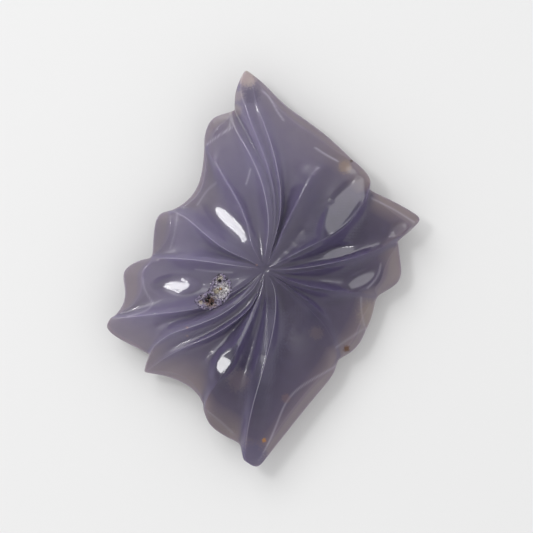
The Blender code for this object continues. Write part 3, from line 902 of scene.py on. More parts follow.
@dataclass(frozen=True)
class PolishedChalcedony:
    """Polished translucent chalcedony: dark lavender where thick, pale and warm where thin.

    The tones run from thin to thick stone, between the limits of thickness in
    millimetres. The lamp-side tones are painted light: they show on the side that
    lamp_side points to, toward the lamps, past lamp_side_limits, and the far side gets
    the darker far-side tones. The shade-lift tones are painted fill light on walls and in
    hollows, and the painted highlight tone is laid along crests and facet edges.
    A dull place is (x, y, radius) in millimetres, and its core is the share of the
    radius that is dull all over.
    """

    # Painted light: lighter tones on the side toward the lamps, up and to the left, and darker ones on
    # the far side.
    lamp_side_tones: tuple = ((0.30, 0.26, 0.315), (0.288, 0.25, 0.358), (0.275, 0.242, 0.385))
    far_side_tones: tuple = ((0.35, 0.28, 0.28), (0.095, 0.069, 0.134), (0.024, 0.012, 0.070))
    tone_places: tuple = (0.0, 0.4, 1.0)
    thickness_limits: tuple = (0.8, 8.0)
    lamp_side: tuple = (-0.80, 0.62)
    lamp_side_limits: tuple = (-6.0, 12.0)
    # Painted fill light: lighter tones on walls and in hollows, to lift the shade that falls there.
    shade_lift_tones: tuple = ((0.165, 0.14, 0.25), (0.29, 0.255, 0.40))
    shade_lift_limits: tuple = (0.05, 0.95)
    shade_lift_strength: float = 0.75
    clouds: tuple = (
        CloudOrPaintedLight(7.0, 3.0, (0.42, 0.62), 0.12, (0.19, 0.155, 0.27)),
        CloudOrPaintedLight(2.2, 4.0, (0.45, 0.7), 0.08, (0.10, 0.09, 0.22)),
    )
    tints: tuple = (
        Tint("flange", (0.47, 0.56), 0.30, (0.36, 0.305, 0.34)),
        Tint("flange", (0.75, 1.0), 0.25, (0.42, 0.35, 0.31)),
    )
    # Painted highlight: the pale tone laid along crests and facet edges, where their polished edges catch
    # the light.
    painted_highlight_tone: tuple = (0.74, 0.70, 0.82)
    crest_highlight_limits: tuple = (0.88, 0.985)
    wander_size: float = 0.35
    roughness: float = 0.35
    polish: float = 0.62
    dull_polish: float = 0.05
    dull_core: float = 0.7
    coat_roughness: float = 0.03
    transmission: float = 0.5
    absorption: tuple = (0.62, 0.54, 0.74)
    absorption_density: float = 120.0
    scatter: tuple = (0.9, 0.8, 1.0)
    scatter_depth: float = 2.2
    index: float = 1.54
    # Mineral spots, and two painted reflections.
    stains_and_sheens: tuple = (
        StainOrSheen((-1.9, -29.6), 2.8, (0.105, 0.09, 0.20), 0.75),
        StainOrSheen((3.5, -20.4), 0.9, (0.26, 0.15, 0.15), 0.4),
        StainOrSheen((-4.5, 25.6), 1.2, (0.50, 0.43, 0.43), 0.6),
        StainOrSheen((-4.3, 27.9), 1.2, (0.50, 0.43, 0.43), 0.6),
        StainOrSheen((13.2, -12.5), 0.62, (0.13, 0.045, 0.010)),
        StainOrSheen((0.0, -27.1), 0.42, (0.50, 0.22, 0.05)),
        StainOrSheen((13.9, 17.5), 0.30, (0.06, 0.04, 0.03), 0.9),
        StainOrSheen((12.9, 16.6), 1.3, (0.50, 0.36, 0.24), 0.45),
        StainOrSheen((-12.3, -9.1), 0.28, (0.50, 0.30, 0.25), 0.6),
        StainOrSheen((-12.3, -10.4), 0.25, (0.50, 0.30, 0.25), 0.4),
        StainOrSheen((-1.2, 0.9), 0.22, (0.60, 0.38, 0.30), 0.5),
        StainOrSheen((-2.0, 28.0), 1.6, (0.10, 0.085, 0.17), 0.5),
        StainOrSheen((-0.6, -9.6), 5.5, (0.15, 0.13, 0.25), 0.35),
        StainOrSheen((-7.4, -24.7), 3.2, (0.15, 0.12, 0.145), 0.4),
        StainOrSheen((-16.4, 5.8), 2.8, (0.19, 0.16, 0.24), 0.35),
        StainOrSheen((-2.7, 30.8), 1.8, (0.62, 0.52, 0.48), 0.75),
        StainOrSheen((17.0, -7.0), 2.6, (0.40, 0.33, 0.27), 0.45),
        # Painted reflection: a faint pinkish patch of light reflected inside the stone.
        StainOrSheen((8.3, -10.0), 1.3, (0.17, 0.12, 0.15), 0.5),
        # Painted reflection: faint pinkish streaks of light reflected inside the stone.
        StainOrSheen((-4.2, -17.5), 2.2, (0.22, 0.15, 0.18), 0.35),
    )
    dull_places: tuple = (
        (6.6, 16.3, 2.1), (-6.7, 22.6, 2.0), (-7.6, 18.1, 1.0), (10.4, 11.2, 1.0), (3.2, 2.1, 0.8),
        (4.3, 3.5, 0.9), (5.4, 4.9, 1.0), (6.3, 6.1, 1.1), (-14.1, 8.1, 1.1), (-13.4, 3.4, 1.0),
        (-16.5, -8.8, 1.5), (-5.0, -1.5, 0.9), (-9.2, -2.2, 0.8), (4.9, -9.6, 1.2), (0.6, -5.0, 0.9),
        (0.5, -6.4, 1.0), (0.4, -7.9, 1.0), (0.35, -9.4, 1.1), (0.2, -11.0, 1.1), (0.0, -12.6, 1.1),
        (-2.2, -11.3, 1.2), (-2.6, -13.0, 1.2), (-3.0, -14.9, 1.2), (-9.0, -13.9, 1.2),
        (21.8, 6.1, 1.2),
    )

    def material(self, shift: np.ndarray) -> bpy.types.Material:
        """Builds the finish.

        Args:
            shift: how far the stone's own lines were moved, in millimetres.

        Returns:
            The material.
        """
        sketch = ShaderSketch("polished_chalcedony")
        sketch.feed(self.colour(sketch, shift), "Base Color")
        sketch.feed(self.coat(sketch, shift), "Coat Weight")
        sketch.set_values(
            {
                "Roughness": self.roughness,
                "IOR": self.index,
                "Specular IOR Level": 0.0,
                "Transmission Weight": self.transmission,
                "Subsurface Weight": 1.0,
                "Subsurface Radius": self.scatter,
                "Subsurface Scale": self.scatter_depth * MM,
                "Coat Roughness": self.coat_roughness,
                "Coat IOR": self.index,
            }
        )
        values = {"Color": (*self.absorption, 1.0), "Density": self.absorption_density}
        volume = sketch.add("ShaderNodeVolumeAbsorption", values=values)
        sketch.tree.links.new(volume.outputs["Volume"], sketch.output.inputs["Volume"])
        return sketch.material

    def colour(self, sketch: ShaderSketch, shift: np.ndarray) -> bpy.types.NodeSocket:
        """The stone's colour, with its clouds, pale thin edges and mineral spots, and light painted into
        it: lighter tones toward the lamps, fill light on walls and in hollows, highlights on crests and
        facet edges, and a few reflections.

        Args:
            sketch: the finish.
            shift: how far the stone's own lines were moved, in millimetres.

        Returns:
            The colour.
        """
        thickness = sketch.spread(sketch.stored("thickness_mm"), *self.thickness_limits)
        lamp_side_colour = sketch.ramp(thickness, self.tone_places, self.lamp_side_tones)
        far_side_colour = sketch.ramp(thickness, self.tone_places, self.far_side_tones)
        # Painted light: the side toward the lamps gets lighter tones, the far side darker ones.
        toward = {1: (*self.lamp_side, 0.0)}
        lie = sketch.add("ShaderNodeVectorMath", {0: sketch.place}, toward, operation="DOT_PRODUCT")
        lamp_side = sketch.spread(lie.outputs["Value"], *(limit * MM for limit in self.lamp_side_limits))
        colour = sketch.mix(lamp_side, far_side_colour, lamp_side_colour)
        # Painted fill light: walls and hollows get a lighter tone, to lift the shade that falls there.
        shade_lift = sketch.spread(sketch.stored("shade_lift"), *self.shade_lift_limits, self.shade_lift_strength)
        colour = sketch.mix(shade_lift, colour, sketch.mix(lamp_side, *self.shade_lift_tones))
        for layer in (*self.clouds, *self.tints):
            colour = layer.over(sketch, colour)
        # Painted highlight: a pale line laid along each crest.
        crest = sketch.spread(sketch.stored("crest"), *self.crest_highlight_limits)
        crest_highlight = sketch.spread(sketch.stored("crest_highlight"), 0.0, 1.0)
        colour = sketch.mix(sketch.multiply(crest, crest_highlight), colour, self.painted_highlight_tone)
        # Painted highlight: fine pale lines along the facet edges.
        colour = sketch.mix(sketch.stored("facet_highlight"), colour, self.painted_highlight_tone)
        wander = sketch.noise(self.wander_size, 2.0).outputs["Color"]
        # Mineral spots, and a few painted reflections.
        for spot_or_sheen in self.stains_and_sheens:
            colour = spot_or_sheen.over(sketch, colour, shift, wander)
        return colour

    def coat(self, sketch: ShaderSketch, shift: np.ndarray) -> bpy.types.NodeSocket:
        """How clearly the polish mirrors, with the duller places left by the wheel.

        Args:
            sketch: the finish.
            shift: how far the stone's own lines were moved, in millimetres.

        Returns:
            The coat's weight.
        """
        place = sketch.place_from_above()
        clear = (self.polish,) * 3
        for x, y, radius in self.dull_places:
            centre = {1: (x * MM - shift[0] * MM, y * MM - shift[1] * MM, 0.0)}
            away = sketch.add("ShaderNodeVectorMath", {0: place}, centre, operation="DISTANCE")
            edge = radius * MM
            near = sketch.spread(away.outputs["Value"], edge, edge * self.dull_core)
            clear = sketch.mix(near, clear, (self.dull_polish,) * 3)
        return clear


@dataclass(frozen=True)
class DruzyQuartz:
    """Fine quartz crystals: smoky at the edges, white and cream inside, with painted glints on white
    specks, painted shade between the crystals and near-black painted shade in the pits.
    """

    smoky: tuple = (0.29, 0.25, 0.37)
    grey: tuple = (0.42, 0.385, 0.47)
    cream: tuple = (0.70, 0.62, 0.50)
    tone_places: tuple = (0.40, 0.56, 0.80)
    tone_size: float = 0.9
    # White specks: partly the crystals' own colour and partly painted glints.
    grains_and_glints: CloudOrPaintedLight = CloudOrPaintedLight(0.22, 2.0, (0.58, 0.72), 0.6, (0.86, 0.84, 0.82))
    # Painted shade between the crystals.
    gap_shade: CloudOrPaintedLight = CloudOrPaintedLight(0.24, 1.0, (0.50, 0.60), 0.55, (0.16, 0.135, 0.18))
    wander_size: float = 0.35
    roughness: float = 0.12
    index: float = 1.54
    transmission: float = 0.1
    patches: tuple = (
        # A pale patch, partly white quartz and partly painted sparkle.
        StainOrSheen((-6.3, -3.2), 1.7, (0.82, 0.80, 0.79), 0.65),
        StainOrSheen((-7.2, -1.0), 0.75, (0.74, 0.68, 0.56), 0.9),
        # Painted glint: a bright white spot.
        StainOrSheen((-5.9, -3.0), 0.55, (1.0, 0.98, 0.96), 1.0),
        StainOrSheen((-7.6, -3.3), 0.6, (0.62, 0.56, 0.40), 0.8),
        StainOrSheen((-7.0, -2.9), 0.25, (0.65, 0.34, 0.10), 0.9),
        StainOrSheen((-10.2, -5.1), 0.45, (0.80, 0.70, 0.54), 0.9),
        StainOrSheen((-8.7, -4.9), 1.0, (0.22, 0.12, 0.07), 0.85),
        StainOrSheen((-8.1, -5.9), 0.8, (0.55, 0.42, 0.36), 0.7),
        # Painted shade: near-black spots in the deepest pits.
        StainOrSheen((-7.1, -1.6), 0.38, (0.012, 0.010, 0.010), 1.0),
        StainOrSheen((-8.95, -4.35), 0.33, (0.012, 0.010, 0.010), 1.0),
        StainOrSheen((-9.1, -4.85), 0.30, (0.012, 0.010, 0.010), 1.0),
        StainOrSheen((-8.4, -5.3), 0.33, (0.012, 0.010, 0.010), 1.0),
    )

    def material(self, shift: np.ndarray) -> bpy.types.Material:
        """Builds the finish.

        Args:
            shift: how far the stone's own lines were moved, in millimetres.

        Returns:
            The material.
        """
        sketch = ShaderSketch("druzy_quartz")
        tones = sketch.noise(self.tone_size, 2.0).outputs["Fac"]
        colour = sketch.ramp(tones, self.tone_places, (self.smoky, self.grey, self.cream))
        # White specks, partly painted glints.
        colour = self.grains_and_glints.over(sketch, colour)
        wander = sketch.noise(self.wander_size, 2.0).outputs["Color"]
        for patch in self.patches:
            colour = patch.over(sketch, colour, shift, wander)
        # Painted shade between the crystals.
        colour = self.gap_shade.over(sketch, colour)
        colour = sketch.mix(sketch.stored("edge_share"), colour, self.smoky)
        sketch.feed(colour, "Base Color")
        sketch.set_values(
            {
                "Roughness": self.roughness,
                "IOR": self.index,
                "Transmission Weight": self.transmission,
            }
        )
        return sketch.material


@dataclass(frozen=True)
class PolishedFlat:
    """A shallow dish left by polishing, which mirrors a lamp as one clear patch.

    centre, length and width are in millimetres, and length lies along turn. The dish
    leans by tilt toward azimuth and curves up by bend along and cross_bend across, per
    millimetre. Angles are in degrees. even_share is how much of its reach is all dish,
    before it blends into the scoop round it.
    """

    centre: tuple
    length: float
    width: float
    turn: float
    tilt: float
    azimuth: float
    bend: float = 0.03
    cross_bend: float = 0.06
    even_share: float = 0.45

    def settle(
        self, places: np.ndarray, heights: np.ndarray, middle: np.ndarray, level: float
    ) -> np.ndarray:
        """The heights of points once the dish is polished in.

        Args:
            places: the points seen from above, one a row.
            heights: the points' heights before.
            middle: the dish's centre.
            level: the surface's height there.

        Returns:
            The new heights.
        """
        offsets = places - middle
        along = offsets @ heading(self.turn)
        over = offsets @ heading(self.turn + 90)
        reach = np.hypot(along / self.length, over / self.width)
        weight = eased(np.clip((1 - reach) / (1 - self.even_share), 0, 1))
        fall = math.tan(math.radians(self.tilt)) * (offsets @ heading(self.azimuth))
        target = level - fall + self.bend / 2 * along**2 + self.cross_bend / 2 * over**2
        return heights + weight * (target - heights)


POLISHED_FLATS = (
    PolishedFlat((-5.5, 7.8), 6.6, 2.2, -43, 13, 146, 0.009, 0.05),
    PolishedFlat((-14.1, -2.35), 4.4, 2.1, 2, 13, 146, 0.02, 0.05),
    PolishedFlat((-6.4, -14.5), 3.8, 2.0, -122, 13, 146, 0.02, 0.035),
    PolishedFlat((12.4, 10.0), 6.6, 2.6, 56, 23, 128, 0.01, 0.02, 0.6),
    PolishedFlat((11.8, 2.95), 4.0, 1.4, 14, 20, 120),
    PolishedFlat((21.4, 6.45), 3.0, 1.6, 30, 18, 126),
    PolishedFlat((15.5, -1.55), 3.8, 1.7, 25, 20, 120),
)


@dataclass
class CarvedStone:
    """The carved stone: lofted, smoothed, and cut open for the druzy hollow.

    Lengths are in millimetres. A crease is how sharp a loop stays when the stone is
    smoothed. The painted fill light, a lighter tone on walls and in hollows where shade
    falls, is measured on square cells, averaged blur_rounds times over blur_cells to
    each side.
    """

    carving: PetalCarving = field(default_factory=PetalCarving)
    finish: PolishedChalcedony = field(default_factory=PolishedChalcedony)
    flats: tuple = POLISHED_FLATS
    hub_dimple: float = 0.25
    pit_depth: float = 1.2
    pit_shoulder: float = 0.2
    cutter_rise: float = 1.5
    smooth_levels: int = 2
    rim_crease: float = 0.35
    flange_crease: float = 0.8
    back_crease: float = 0.5
    # Where the painted crest highlight fades in near the centre, and how much of it fades toward the rim.
    highlight_start: float = 0.12
    highlight_loss: float = 0.75
    skin: float = 0.02
    cell: float = 0.5
    blur_cells: int = 2
    blur_rounds: int = 2
    # How much painted fill light walls and hollows get.
    wall_share: float = 2.2
    hollow_share: float = 0.8
    # How wide the painted facet highlights are.
    highlight_width: float = 0.13
    floor_height: float = 0.0
    tree: BVHTree | None = None
    obj: bpy.types.Object | None = None

    def build(self) -> bpy.types.Object:
        """Models the stone and measures what its finish reads.

        Returns:
            The stone's object.
        """
        loops = self.carving.loops()
        self.loft(loops)
        self.crease(len(loops))
        self.smooth()
        self.read_surface()
        self.polish_flats()
        self.read_surface()
        self.cut_pit()
        self.measure_thickness()
        self.measure_shade_lift()
        self.draw_facet_highlights()
        return self.obj

    def loft(self, loops: list) -> None:
        """Draws the stone as a ring round the centre that is extruded loop by loop.

        Args:
            loops: the surface's loops, from the centre of the front to the back.
        """
        hub = np.array(self.carving.hub) - self.carving.shift
        deselect_all()
        bpy.ops.mesh.primitive_circle_add(vertices=len(loops[0]), radius=self.carving.hub_ring * MM)
        self.obj = bpy.context.object
        self.obj.name = "polished_stone"
        self.obj.data.name = "polished_stone"
        bpy.ops.object.mode_set(mode="EDIT")
        bpy.ops.mesh.select_mode(type="EDGE")
        bm = bmesh.from_edit_mesh(self.obj.data)
        column = bm.verts.layers.int.new("column")
        bm.verts.layers.int.new("row")
        for name in ("flange", "crest", "crest_highlight"):
            bm.verts.layers.float.new(name)
        for i, vert in enumerate(bm.verts):
            vert[column] = i
            vert.co = Vector(loops[0][i]) * MM
        bmesh.update_edit_mesh(self.obj.data)
        for number, loop in enumerate(loops[1:], 1):
            bpy.ops.mesh.extrude_edges_move()
            self.place_loop(loop, number)
        self.cap((*hub, 0.0))
        bpy.ops.mesh.select_all(action="DESELECT")
        bm = bmesh.from_edit_mesh(self.obj.data)
        for edge in bm.edges:
            edge.select = edge.is_boundary
        bmesh.update_edit_mesh(self.obj.data)
        self.cap((*hub, self.carving.hub_height - self.hub_dimple))
        bpy.ops.mesh.select_all(action="SELECT")
        bpy.ops.mesh.normals_make_consistent(inside=False)
        bpy.ops.object.mode_set(mode="OBJECT")

    def place_loop(self, loop: np.ndarray, number: int) -> None:
        """Puts the newly extruded points in place, marks what part of the stone they are, and stores how
        strongly the painted crest highlight shows there.

        Args:
            loop: the points' places in millimetres, in the order of their columns.
            number: the loop's number, counted from the centre.
        """
        bm = bmesh.from_edit_mesh(self.obj.data)
        ints = bm.verts.layers.int
        floats = bm.verts.layers.float
        share = number / self.carving.hollow_rows
        # How strongly the painted crest highlight shows on this loop.
        bright = min(share / self.highlight_start, 1.0) * (1 - self.highlight_loss * share) if share <= 1 else 0.0
        past_hollow = (number - self.carving.hollow_rows) / 2 + 0.5
        for vert in bm.verts:
            if not vert.select:
                continue
            column = vert[ints["column"]]
            crest_highlight = self.carving.column_highlight[column]
            vert.co = Vector(loop[column]) * MM
            vert[ints["row"]] = number
            vert[floats["crest"]] = 1.0 if crest_highlight > 0 and share <= 1 else 0.0
            vert[floats["crest_highlight"]] = crest_highlight * bright
            vert[floats["flange"]] = min(max(past_hollow, 0.0), 1.0)
        bmesh.update_edit_mesh(self.obj.data)

    def cap(self, centre: tuple) -> None:
        """Closes the selected ring with a fan of faces.

        Args:
            centre: where the fan's faces meet, in millimetres.
        """
        bpy.ops.mesh.edge_face_add()
        bpy.ops.mesh.poke()
        bm = bmesh.from_edit_mesh(self.obj.data)
        middle = max((v for v in bm.verts if v.select), key=lambda v: len(v.link_edges))
        middle.co = Vector(centre) * MM
        bmesh.update_edit_mesh(self.obj.data)

    def crease(self, loop_count: int) -> None:
        """Keeps crests, the rim and the flat back's edge crisp when the stone is smoothed.

        Args:
            loop_count: how many loops the stone was lofted from.
        """
        bpy.ops.object.mode_set(mode="EDIT")
        bm = bmesh.from_edit_mesh(self.obj.data)
        column = bm.verts.layers.int["column"]
        row = bm.verts.layers.int["row"]
        sharp = bm.edges.layers.float.get("crease_edge") or bm.edges.layers.float.new("crease_edge")
        flange_row = self.carving.hollow_rows
        rim_row = flange_row + self.carving.flange_rows
        row_creases = {
            flange_row: self.flange_crease,
            rim_row: self.rim_crease,
            rim_row + 1: self.rim_crease,
            loop_count - 1: self.back_crease,
        }
        for edge in bm.edges:
            a, b = edge.verts
            if max(len(a.link_edges), len(b.link_edges)) > FAN_EDGES:
                continue
            role = self.carving.column_roles[a[column]]
            if a[column] == b[column] and role and max(a[row], b[row]) <= rim_row:
                edge[sharp] = role.value
            elif a[row] == b[row] and a[column] != b[column]:
                edge[sharp] = row_creases.get(a[row], 0.0)
        bmesh.update_edit_mesh(self.obj.data)
        bpy.ops.object.mode_set(mode="OBJECT")

    def smooth(self) -> None:
        """Subdivides the stone and shades it smooth."""
        modifier = self.obj.modifiers.new("polish", "SUBSURF")
        modifier.levels = modifier.render_levels = self.smooth_levels
        apply_modifier(self.obj, modifier.name)
        self.obj.data.shade_smooth()

    def polish_flats(self) -> None:
        """Sets the front's points into the polished dishes."""
        mesh = self.obj.data
        points = vertex_places(mesh)
        front = upward_shares(mesh) > 0
        for flat in self.flats:
            middle = np.array(flat.centre) - self.carving.shift
            level = self.height(*middle)
            points[front, 2] = flat.settle(points[front, :2], points[front, 2], middle, level)
        mesh.vertices.foreach_set("co", points.ravel() * MM)
        mesh.update()

    def read_surface(self) -> None:
        """Keeps the uncut surface, and the level of the hollow's floor."""
        self.tree = mesh_tree(self.obj.data)
        ring = self.pit_ring(self.pit_shoulder)
        self.floor_height = min(self.height(x, y) for x, y in ring) - self.pit_depth

    def height(self, x: float, y: float) -> float:
        """The front's height at a place, all in millimetres."""
        hit = self.tree.ray_cast(Vector((x * MM, y * MM, 1.0)), Vector((0, 0, -1)))
        return hit[0].z / MM

    def pit_ring(self, inset: float) -> np.ndarray:
        """The druzy hollow's outline.

        Args:
            inset: how far it is drawn in, in millimetres.

        Returns:
            Its points, one a row.
        """
        outline = np.array(PIT_OUTLINE) - self.carving.shift
        along = np.roll(outline, -1, axis=0) - np.roll(outline, 1, axis=0)
        along /= np.linalg.norm(along, axis=1)[:, None]
        return outline + inset * np.column_stack([-along[:, 1], along[:, 0]])

    def cut_pit(self) -> None:
        """Cuts the druzy hollow out of the stone."""
        wall = self.pit_ring(0.0)
        top = max(self.height(x, y) for x, y in wall) + self.cutter_rise
        deselect_all()
        bpy.ops.mesh.primitive_cylinder_add(vertices=len(wall), radius=MM, depth=MM)
        cutter = bpy.context.object
        cutter.name = "pit_cutter"
        bm = bmesh.new()
        loops = (
            [(x, y, self.floor_height) for x, y in self.pit_ring(self.pit_shoulder)],
            [(x, y, self.floor_height + self.pit_shoulder) for x, y in wall],
            [(x, y, top) for x, y in wall],
        )
        rings = [[bm.verts.new(Vector(p) * MM) for p in loop] for loop in loops]
        for near, far in zip(rings, rings[1:]):
            for i in range(len(near)):
                j = (i + 1) % len(near)
                bm.faces.new((near[i], near[j], far[j], far[i]))
        bm.faces.new(rings[0])
        bm.faces.new(rings[-1])
        bmesh.ops.triangulate(bm, faces=bm.faces)
        bmesh.ops.recalc_face_normals(bm, faces=bm.faces)
        bm.to_mesh(cutter.data)
        bm.free()
        cut = self.obj.modifiers.new("druzy hollow", "BOOLEAN")
        cut.operation = "DIFFERENCE"
        cut.object = cutter
        apply_modifier(self.obj, cut.name)
        bpy.data.objects.remove(cutter, do_unlink=True)

    def measure_thickness(self) -> None:
        """Stores at each point how much stone lies under it, in millimetres."""
        bm = bmesh.new()
        bm.from_mesh(self.obj.data)
        tree = BVHTree.FromBMesh(bm)
        values = []
        for vert in bm.verts:
            through = Vector((0, 0, -1 if vert.normal.z > 0 else 1))
            hit = tree.ray_cast(vert.co + through * self.skin * MM, through)
            values.append(hit[3] / MM if hit[0] else 0.0)
        bm.free()
        store(self.obj.data, "thickness_mm", values)

    def blurred(self, cells: np.ndarray) -> np.ndarray:
        """Sums each cell with its neighbours, a few rounds over.

        Args:
            cells: one value a cell.

        Returns:
            The sums, one a cell.
        """
        reach = range(-self.blur_cells, self.blur_cells + 1)
        for _ in range(self.blur_rounds):
            for axis in (0, 1):
                cells = sum(np.roll(cells, k, axis) for k in reach)
        return cells

    def measure_shade_lift(self) -> None:
        """Stores at each point how much painted fill light it gets, from 0 to 1: more on walls and where
        it lies below its surroundings, where shade falls.
        """
        mesh = self.obj.data
        points = vertex_places(mesh)
        upward = upward_shares(mesh)
        front = upward > 0
        places = points[:, :2]
        cells = np.floor((places - places.min(axis=0)) / self.cell).astype(int) + self.blur_cells
        shape = cells.max(axis=0) + 1 + self.blur_cells
        total = np.zeros(shape)
        count = np.zeros(shape)
        np.add.at(total, tuple(cells[front].T), points[front, 2])
        np.add.at(count, tuple(cells[front].T), 1.0)
        level = self.blurred(total / np.maximum(count, 1.0))
        known = self.blurred(np.minimum(count, 1.0))
        around = (level / np.maximum(known, 1e-9))[tuple(cells.T)]
        below = np.maximum(around - points[:, 2], 0)
        shade_lift = self.wall_share * (1 - upward) + self.hollow_share * below
        store(mesh, "shade_lift", np.where(front, np.clip(shade_lift, 0, 1), 0.0))

    def draw_facet_highlights(self) -> None:
        """Stores at each point how strongly the painted highlight along a facet's fine edge shows there.
        """
        mesh = self.obj.data
        places = vertex_places(mesh)[:, :2] + self.carving.shift
        shown = np.zeros(len(places))
        for edge in FACET_HIGHLIGHTS:
            path = spline(np.array(edge.points))
            away = np.full(len(places), np.inf)
            for a, b in zip(path, path[1:]):
                run = b - a
                share = np.clip((places - a) @ run / (run @ run), 0, 1)
                away = np.minimum(away, np.linalg.norm(a + share[:, None] * run - places, axis=1))
            shown = np.maximum(shown, edge.strength * np.exp(-((away / self.highlight_width) ** 2)))
        store(mesh, "facet_highlight", shown)

    def dress(self) -> None:
        """Gives the stone its finish and its place in the frame."""
        self.obj.data.materials.clear()
        self.obj.data.materials.append(self.finish.material(self.carving.shift))
        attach(self.obj, ROOT)
        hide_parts("carved_stone")


@dataclass
class DruzyCrust:
    """Small quartz crystals that line the hollow.

    Lengths are in millimetres. A crystal is small to large wide, times one of
    size_shares, and low to high widths tall. Its foot is rooted below the bed, which
    climbs from its floor to rim_sink below the stone's surface over the last stretch,
    climb long. Crystals nearer the edge than blend turn smoky.
    """

    stone: CarvedStone
    finish: DruzyQuartz = field(default_factory=DruzyQuartz)
    crystals: int = 950
    seed: int = 11
    small: float = 0.16
    large: float = 0.32
    size_shares: tuple = (0.7, 1.0, 1.0, 1.3)
    low: float = 1.1
    high: float = 2.0
    lean: float = 0.35
    rooted: float = 0.08
    sides: int = 6
    shaft: float = 0.6
    point_width: float = 0.12
    climb: float = 1.3
    blend: float = 0.5
    margin: float = 0.02
    bed_rise: float = 0.65
    rim_sink: float = 0.12
    slope_step: float = 0.1
    obj: bpy.types.Object | None = None

    def template(self) -> tuple:
        """Models one crystal, a prism with a point, one unit wide and high.

        Returns:
            Its points as an array and its faces as lists of indices.
        """
        deselect_all()
        bpy.ops.mesh.primitive_cylinder_add(
            vertices=self.sides, radius=0.5, depth=self.shaft, location=(0, 0, self.shaft / 2)
        )
        crystal = bpy.context.object
        bpy.ops.object.mode_set(mode="EDIT")
        bpy.ops.mesh.select_mode(type="FACE")
        bpy.ops.mesh.select_all(action="DESELECT")
        bm = bmesh.from_edit_mesh(crystal.data)
        for face in bm.faces:
            face.select = face.normal.z > 0.9
        bmesh.update_edit_mesh(crystal.data)
        bpy.ops.mesh.extrude_region_move(TRANSFORM_OT_translate={"value": (0, 0, 1 - self.shaft)})
        bpy.ops.transform.resize(value=(self.point_width, self.point_width, 1.0))
        bpy.ops.object.mode_set(mode="OBJECT")
        bpy.ops.object.transform_apply(location=True, rotation=True, scale=True)
        points = np.array([v.co for v in crystal.data.vertices])
        faces = [list(p.vertices) for p in crystal.data.polygons]
        bpy.data.objects.remove(crystal, do_unlink=True)
        return points, faces

    def edge_distance(self, place: np.ndarray, outline: np.ndarray) -> float:
        """How far a place is inside an outline.

        Args:
            place: the place, in millimetres.
            outline: the outline's points, one a row.

        Returns:
            The distance to the outline, below 0 outside it.
        """
        nearest = math.inf
        inside = False
        for a, b in zip(outline, np.roll(outline, -1, axis=0)):
            run = b - a
            share = np.clip(np.dot(place - a, run) / np.dot(run, run), 0, 1)
            nearest = min(nearest, float(np.linalg.norm(a + share * run - place)))
            crosses = (a[1] > place[1]) != (b[1] > place[1])
            if crosses and place[0] < a[0] + (place[1] - a[1]) * run[0] / run[1]:
                inside = not inside
        return nearest if inside else -nearest

    def bed_height(self, place: np.ndarray, outline: np.ndarray) -> float:
        """The height of the bed that the crystals grow from.

        Args:
            place: the place, in millimetres.
            outline: the hollow's outline.

        Returns:
            The height, in millimetres.
        """
        depth = eased(np.clip(self.edge_distance(place, outline) / self.climb, 0, 1))
        rim = self.stone.height(*place) - self.rim_sink
        return float((1 - depth) * rim + depth * (self.stone.floor_height + self.bed_rise))

    def stance(self, rng: random.Random, place: np.ndarray, outline: np.ndarray) -> Matrix:
        """How one crystal stands on the bed.

        Args:
            rng: where its size and lean come from.
            place: its foot, in millimetres.
            outline: the hollow's outline.

        Returns:
            The matrix that brings the template there, in millimetres.
        """
        size = rng.uniform(self.small, self.large) * rng.choice(self.size_shares)
        z = self.bed_height(place, outline)
        slope_x = self.bed_height(place + [self.slope_step, 0], outline) - z
        slope_y = self.bed_height(place + [0, self.slope_step], outline) - z
        normal = Vector((-slope_x, -slope_y, self.slope_step)).normalized()
        tilt = Vector((rng.gauss(0, self.lean), rng.gauss(0, self.lean), 1.0))
        turn = (normal + tilt).to_track_quat("Z", "Y").to_matrix().to_4x4()
        spin = Matrix.Rotation(rng.uniform(0, math.tau), 4, "Z")
        stretch = Matrix.Diagonal((size, size, size * rng.uniform(self.low, self.high), 1.0))
        return Matrix.Translation((*place, z - self.rooted)) @ turn @ spin @ stretch

    def build(self) -> bpy.types.Object:
        """Scatters the crystals over the hollow and joins them in one mesh.

        Returns:
            The crystals' object.
        """
        rng = random.Random(self.seed)
        points, faces = self.template()
        outline = self.stone.pit_ring(0.0)
        low, high = outline.min(axis=0), outline.max(axis=0)
        all_points = []
        all_faces = []
        edge_shares = []
        while len(all_points) < self.crystals:
            place = np.array([rng.uniform(low[0], high[0]), rng.uniform(low[1], high[1])])
            inside = self.edge_distance(place, outline)
            if inside < self.margin:
                continue
            matrix = self.stance(rng, place, outline)
            base = len(all_points) * len(points)
            all_points.append(np.array([matrix @ Vector(p) for p in points]) * MM)
            all_faces.extend([base + i for i in face] for face in faces)
            edge_shares.extend([max(0.0, 1.0 - inside / self.blend)] * len(points))
        mesh = bpy.data.meshes.new("druzy_crystals")
        mesh.from_pydata(np.vstack(all_points).tolist(), [], all_faces)
        mesh.update()
        store(mesh, "edge_share", edge_shares)
        self.obj = bpy.data.objects.new("druzy_crystals", mesh)
        bpy.context.scene.collection.objects.link(self.obj)
        return self.obj

    def dress(self) -> None:
        """Gives the crystals their finish and their place in the frame."""
        self.obj.data.materials.append(self.finish.material(self.stone.carving.shift))
        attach(self.obj, ROOT)
        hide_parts("druzy_crust")


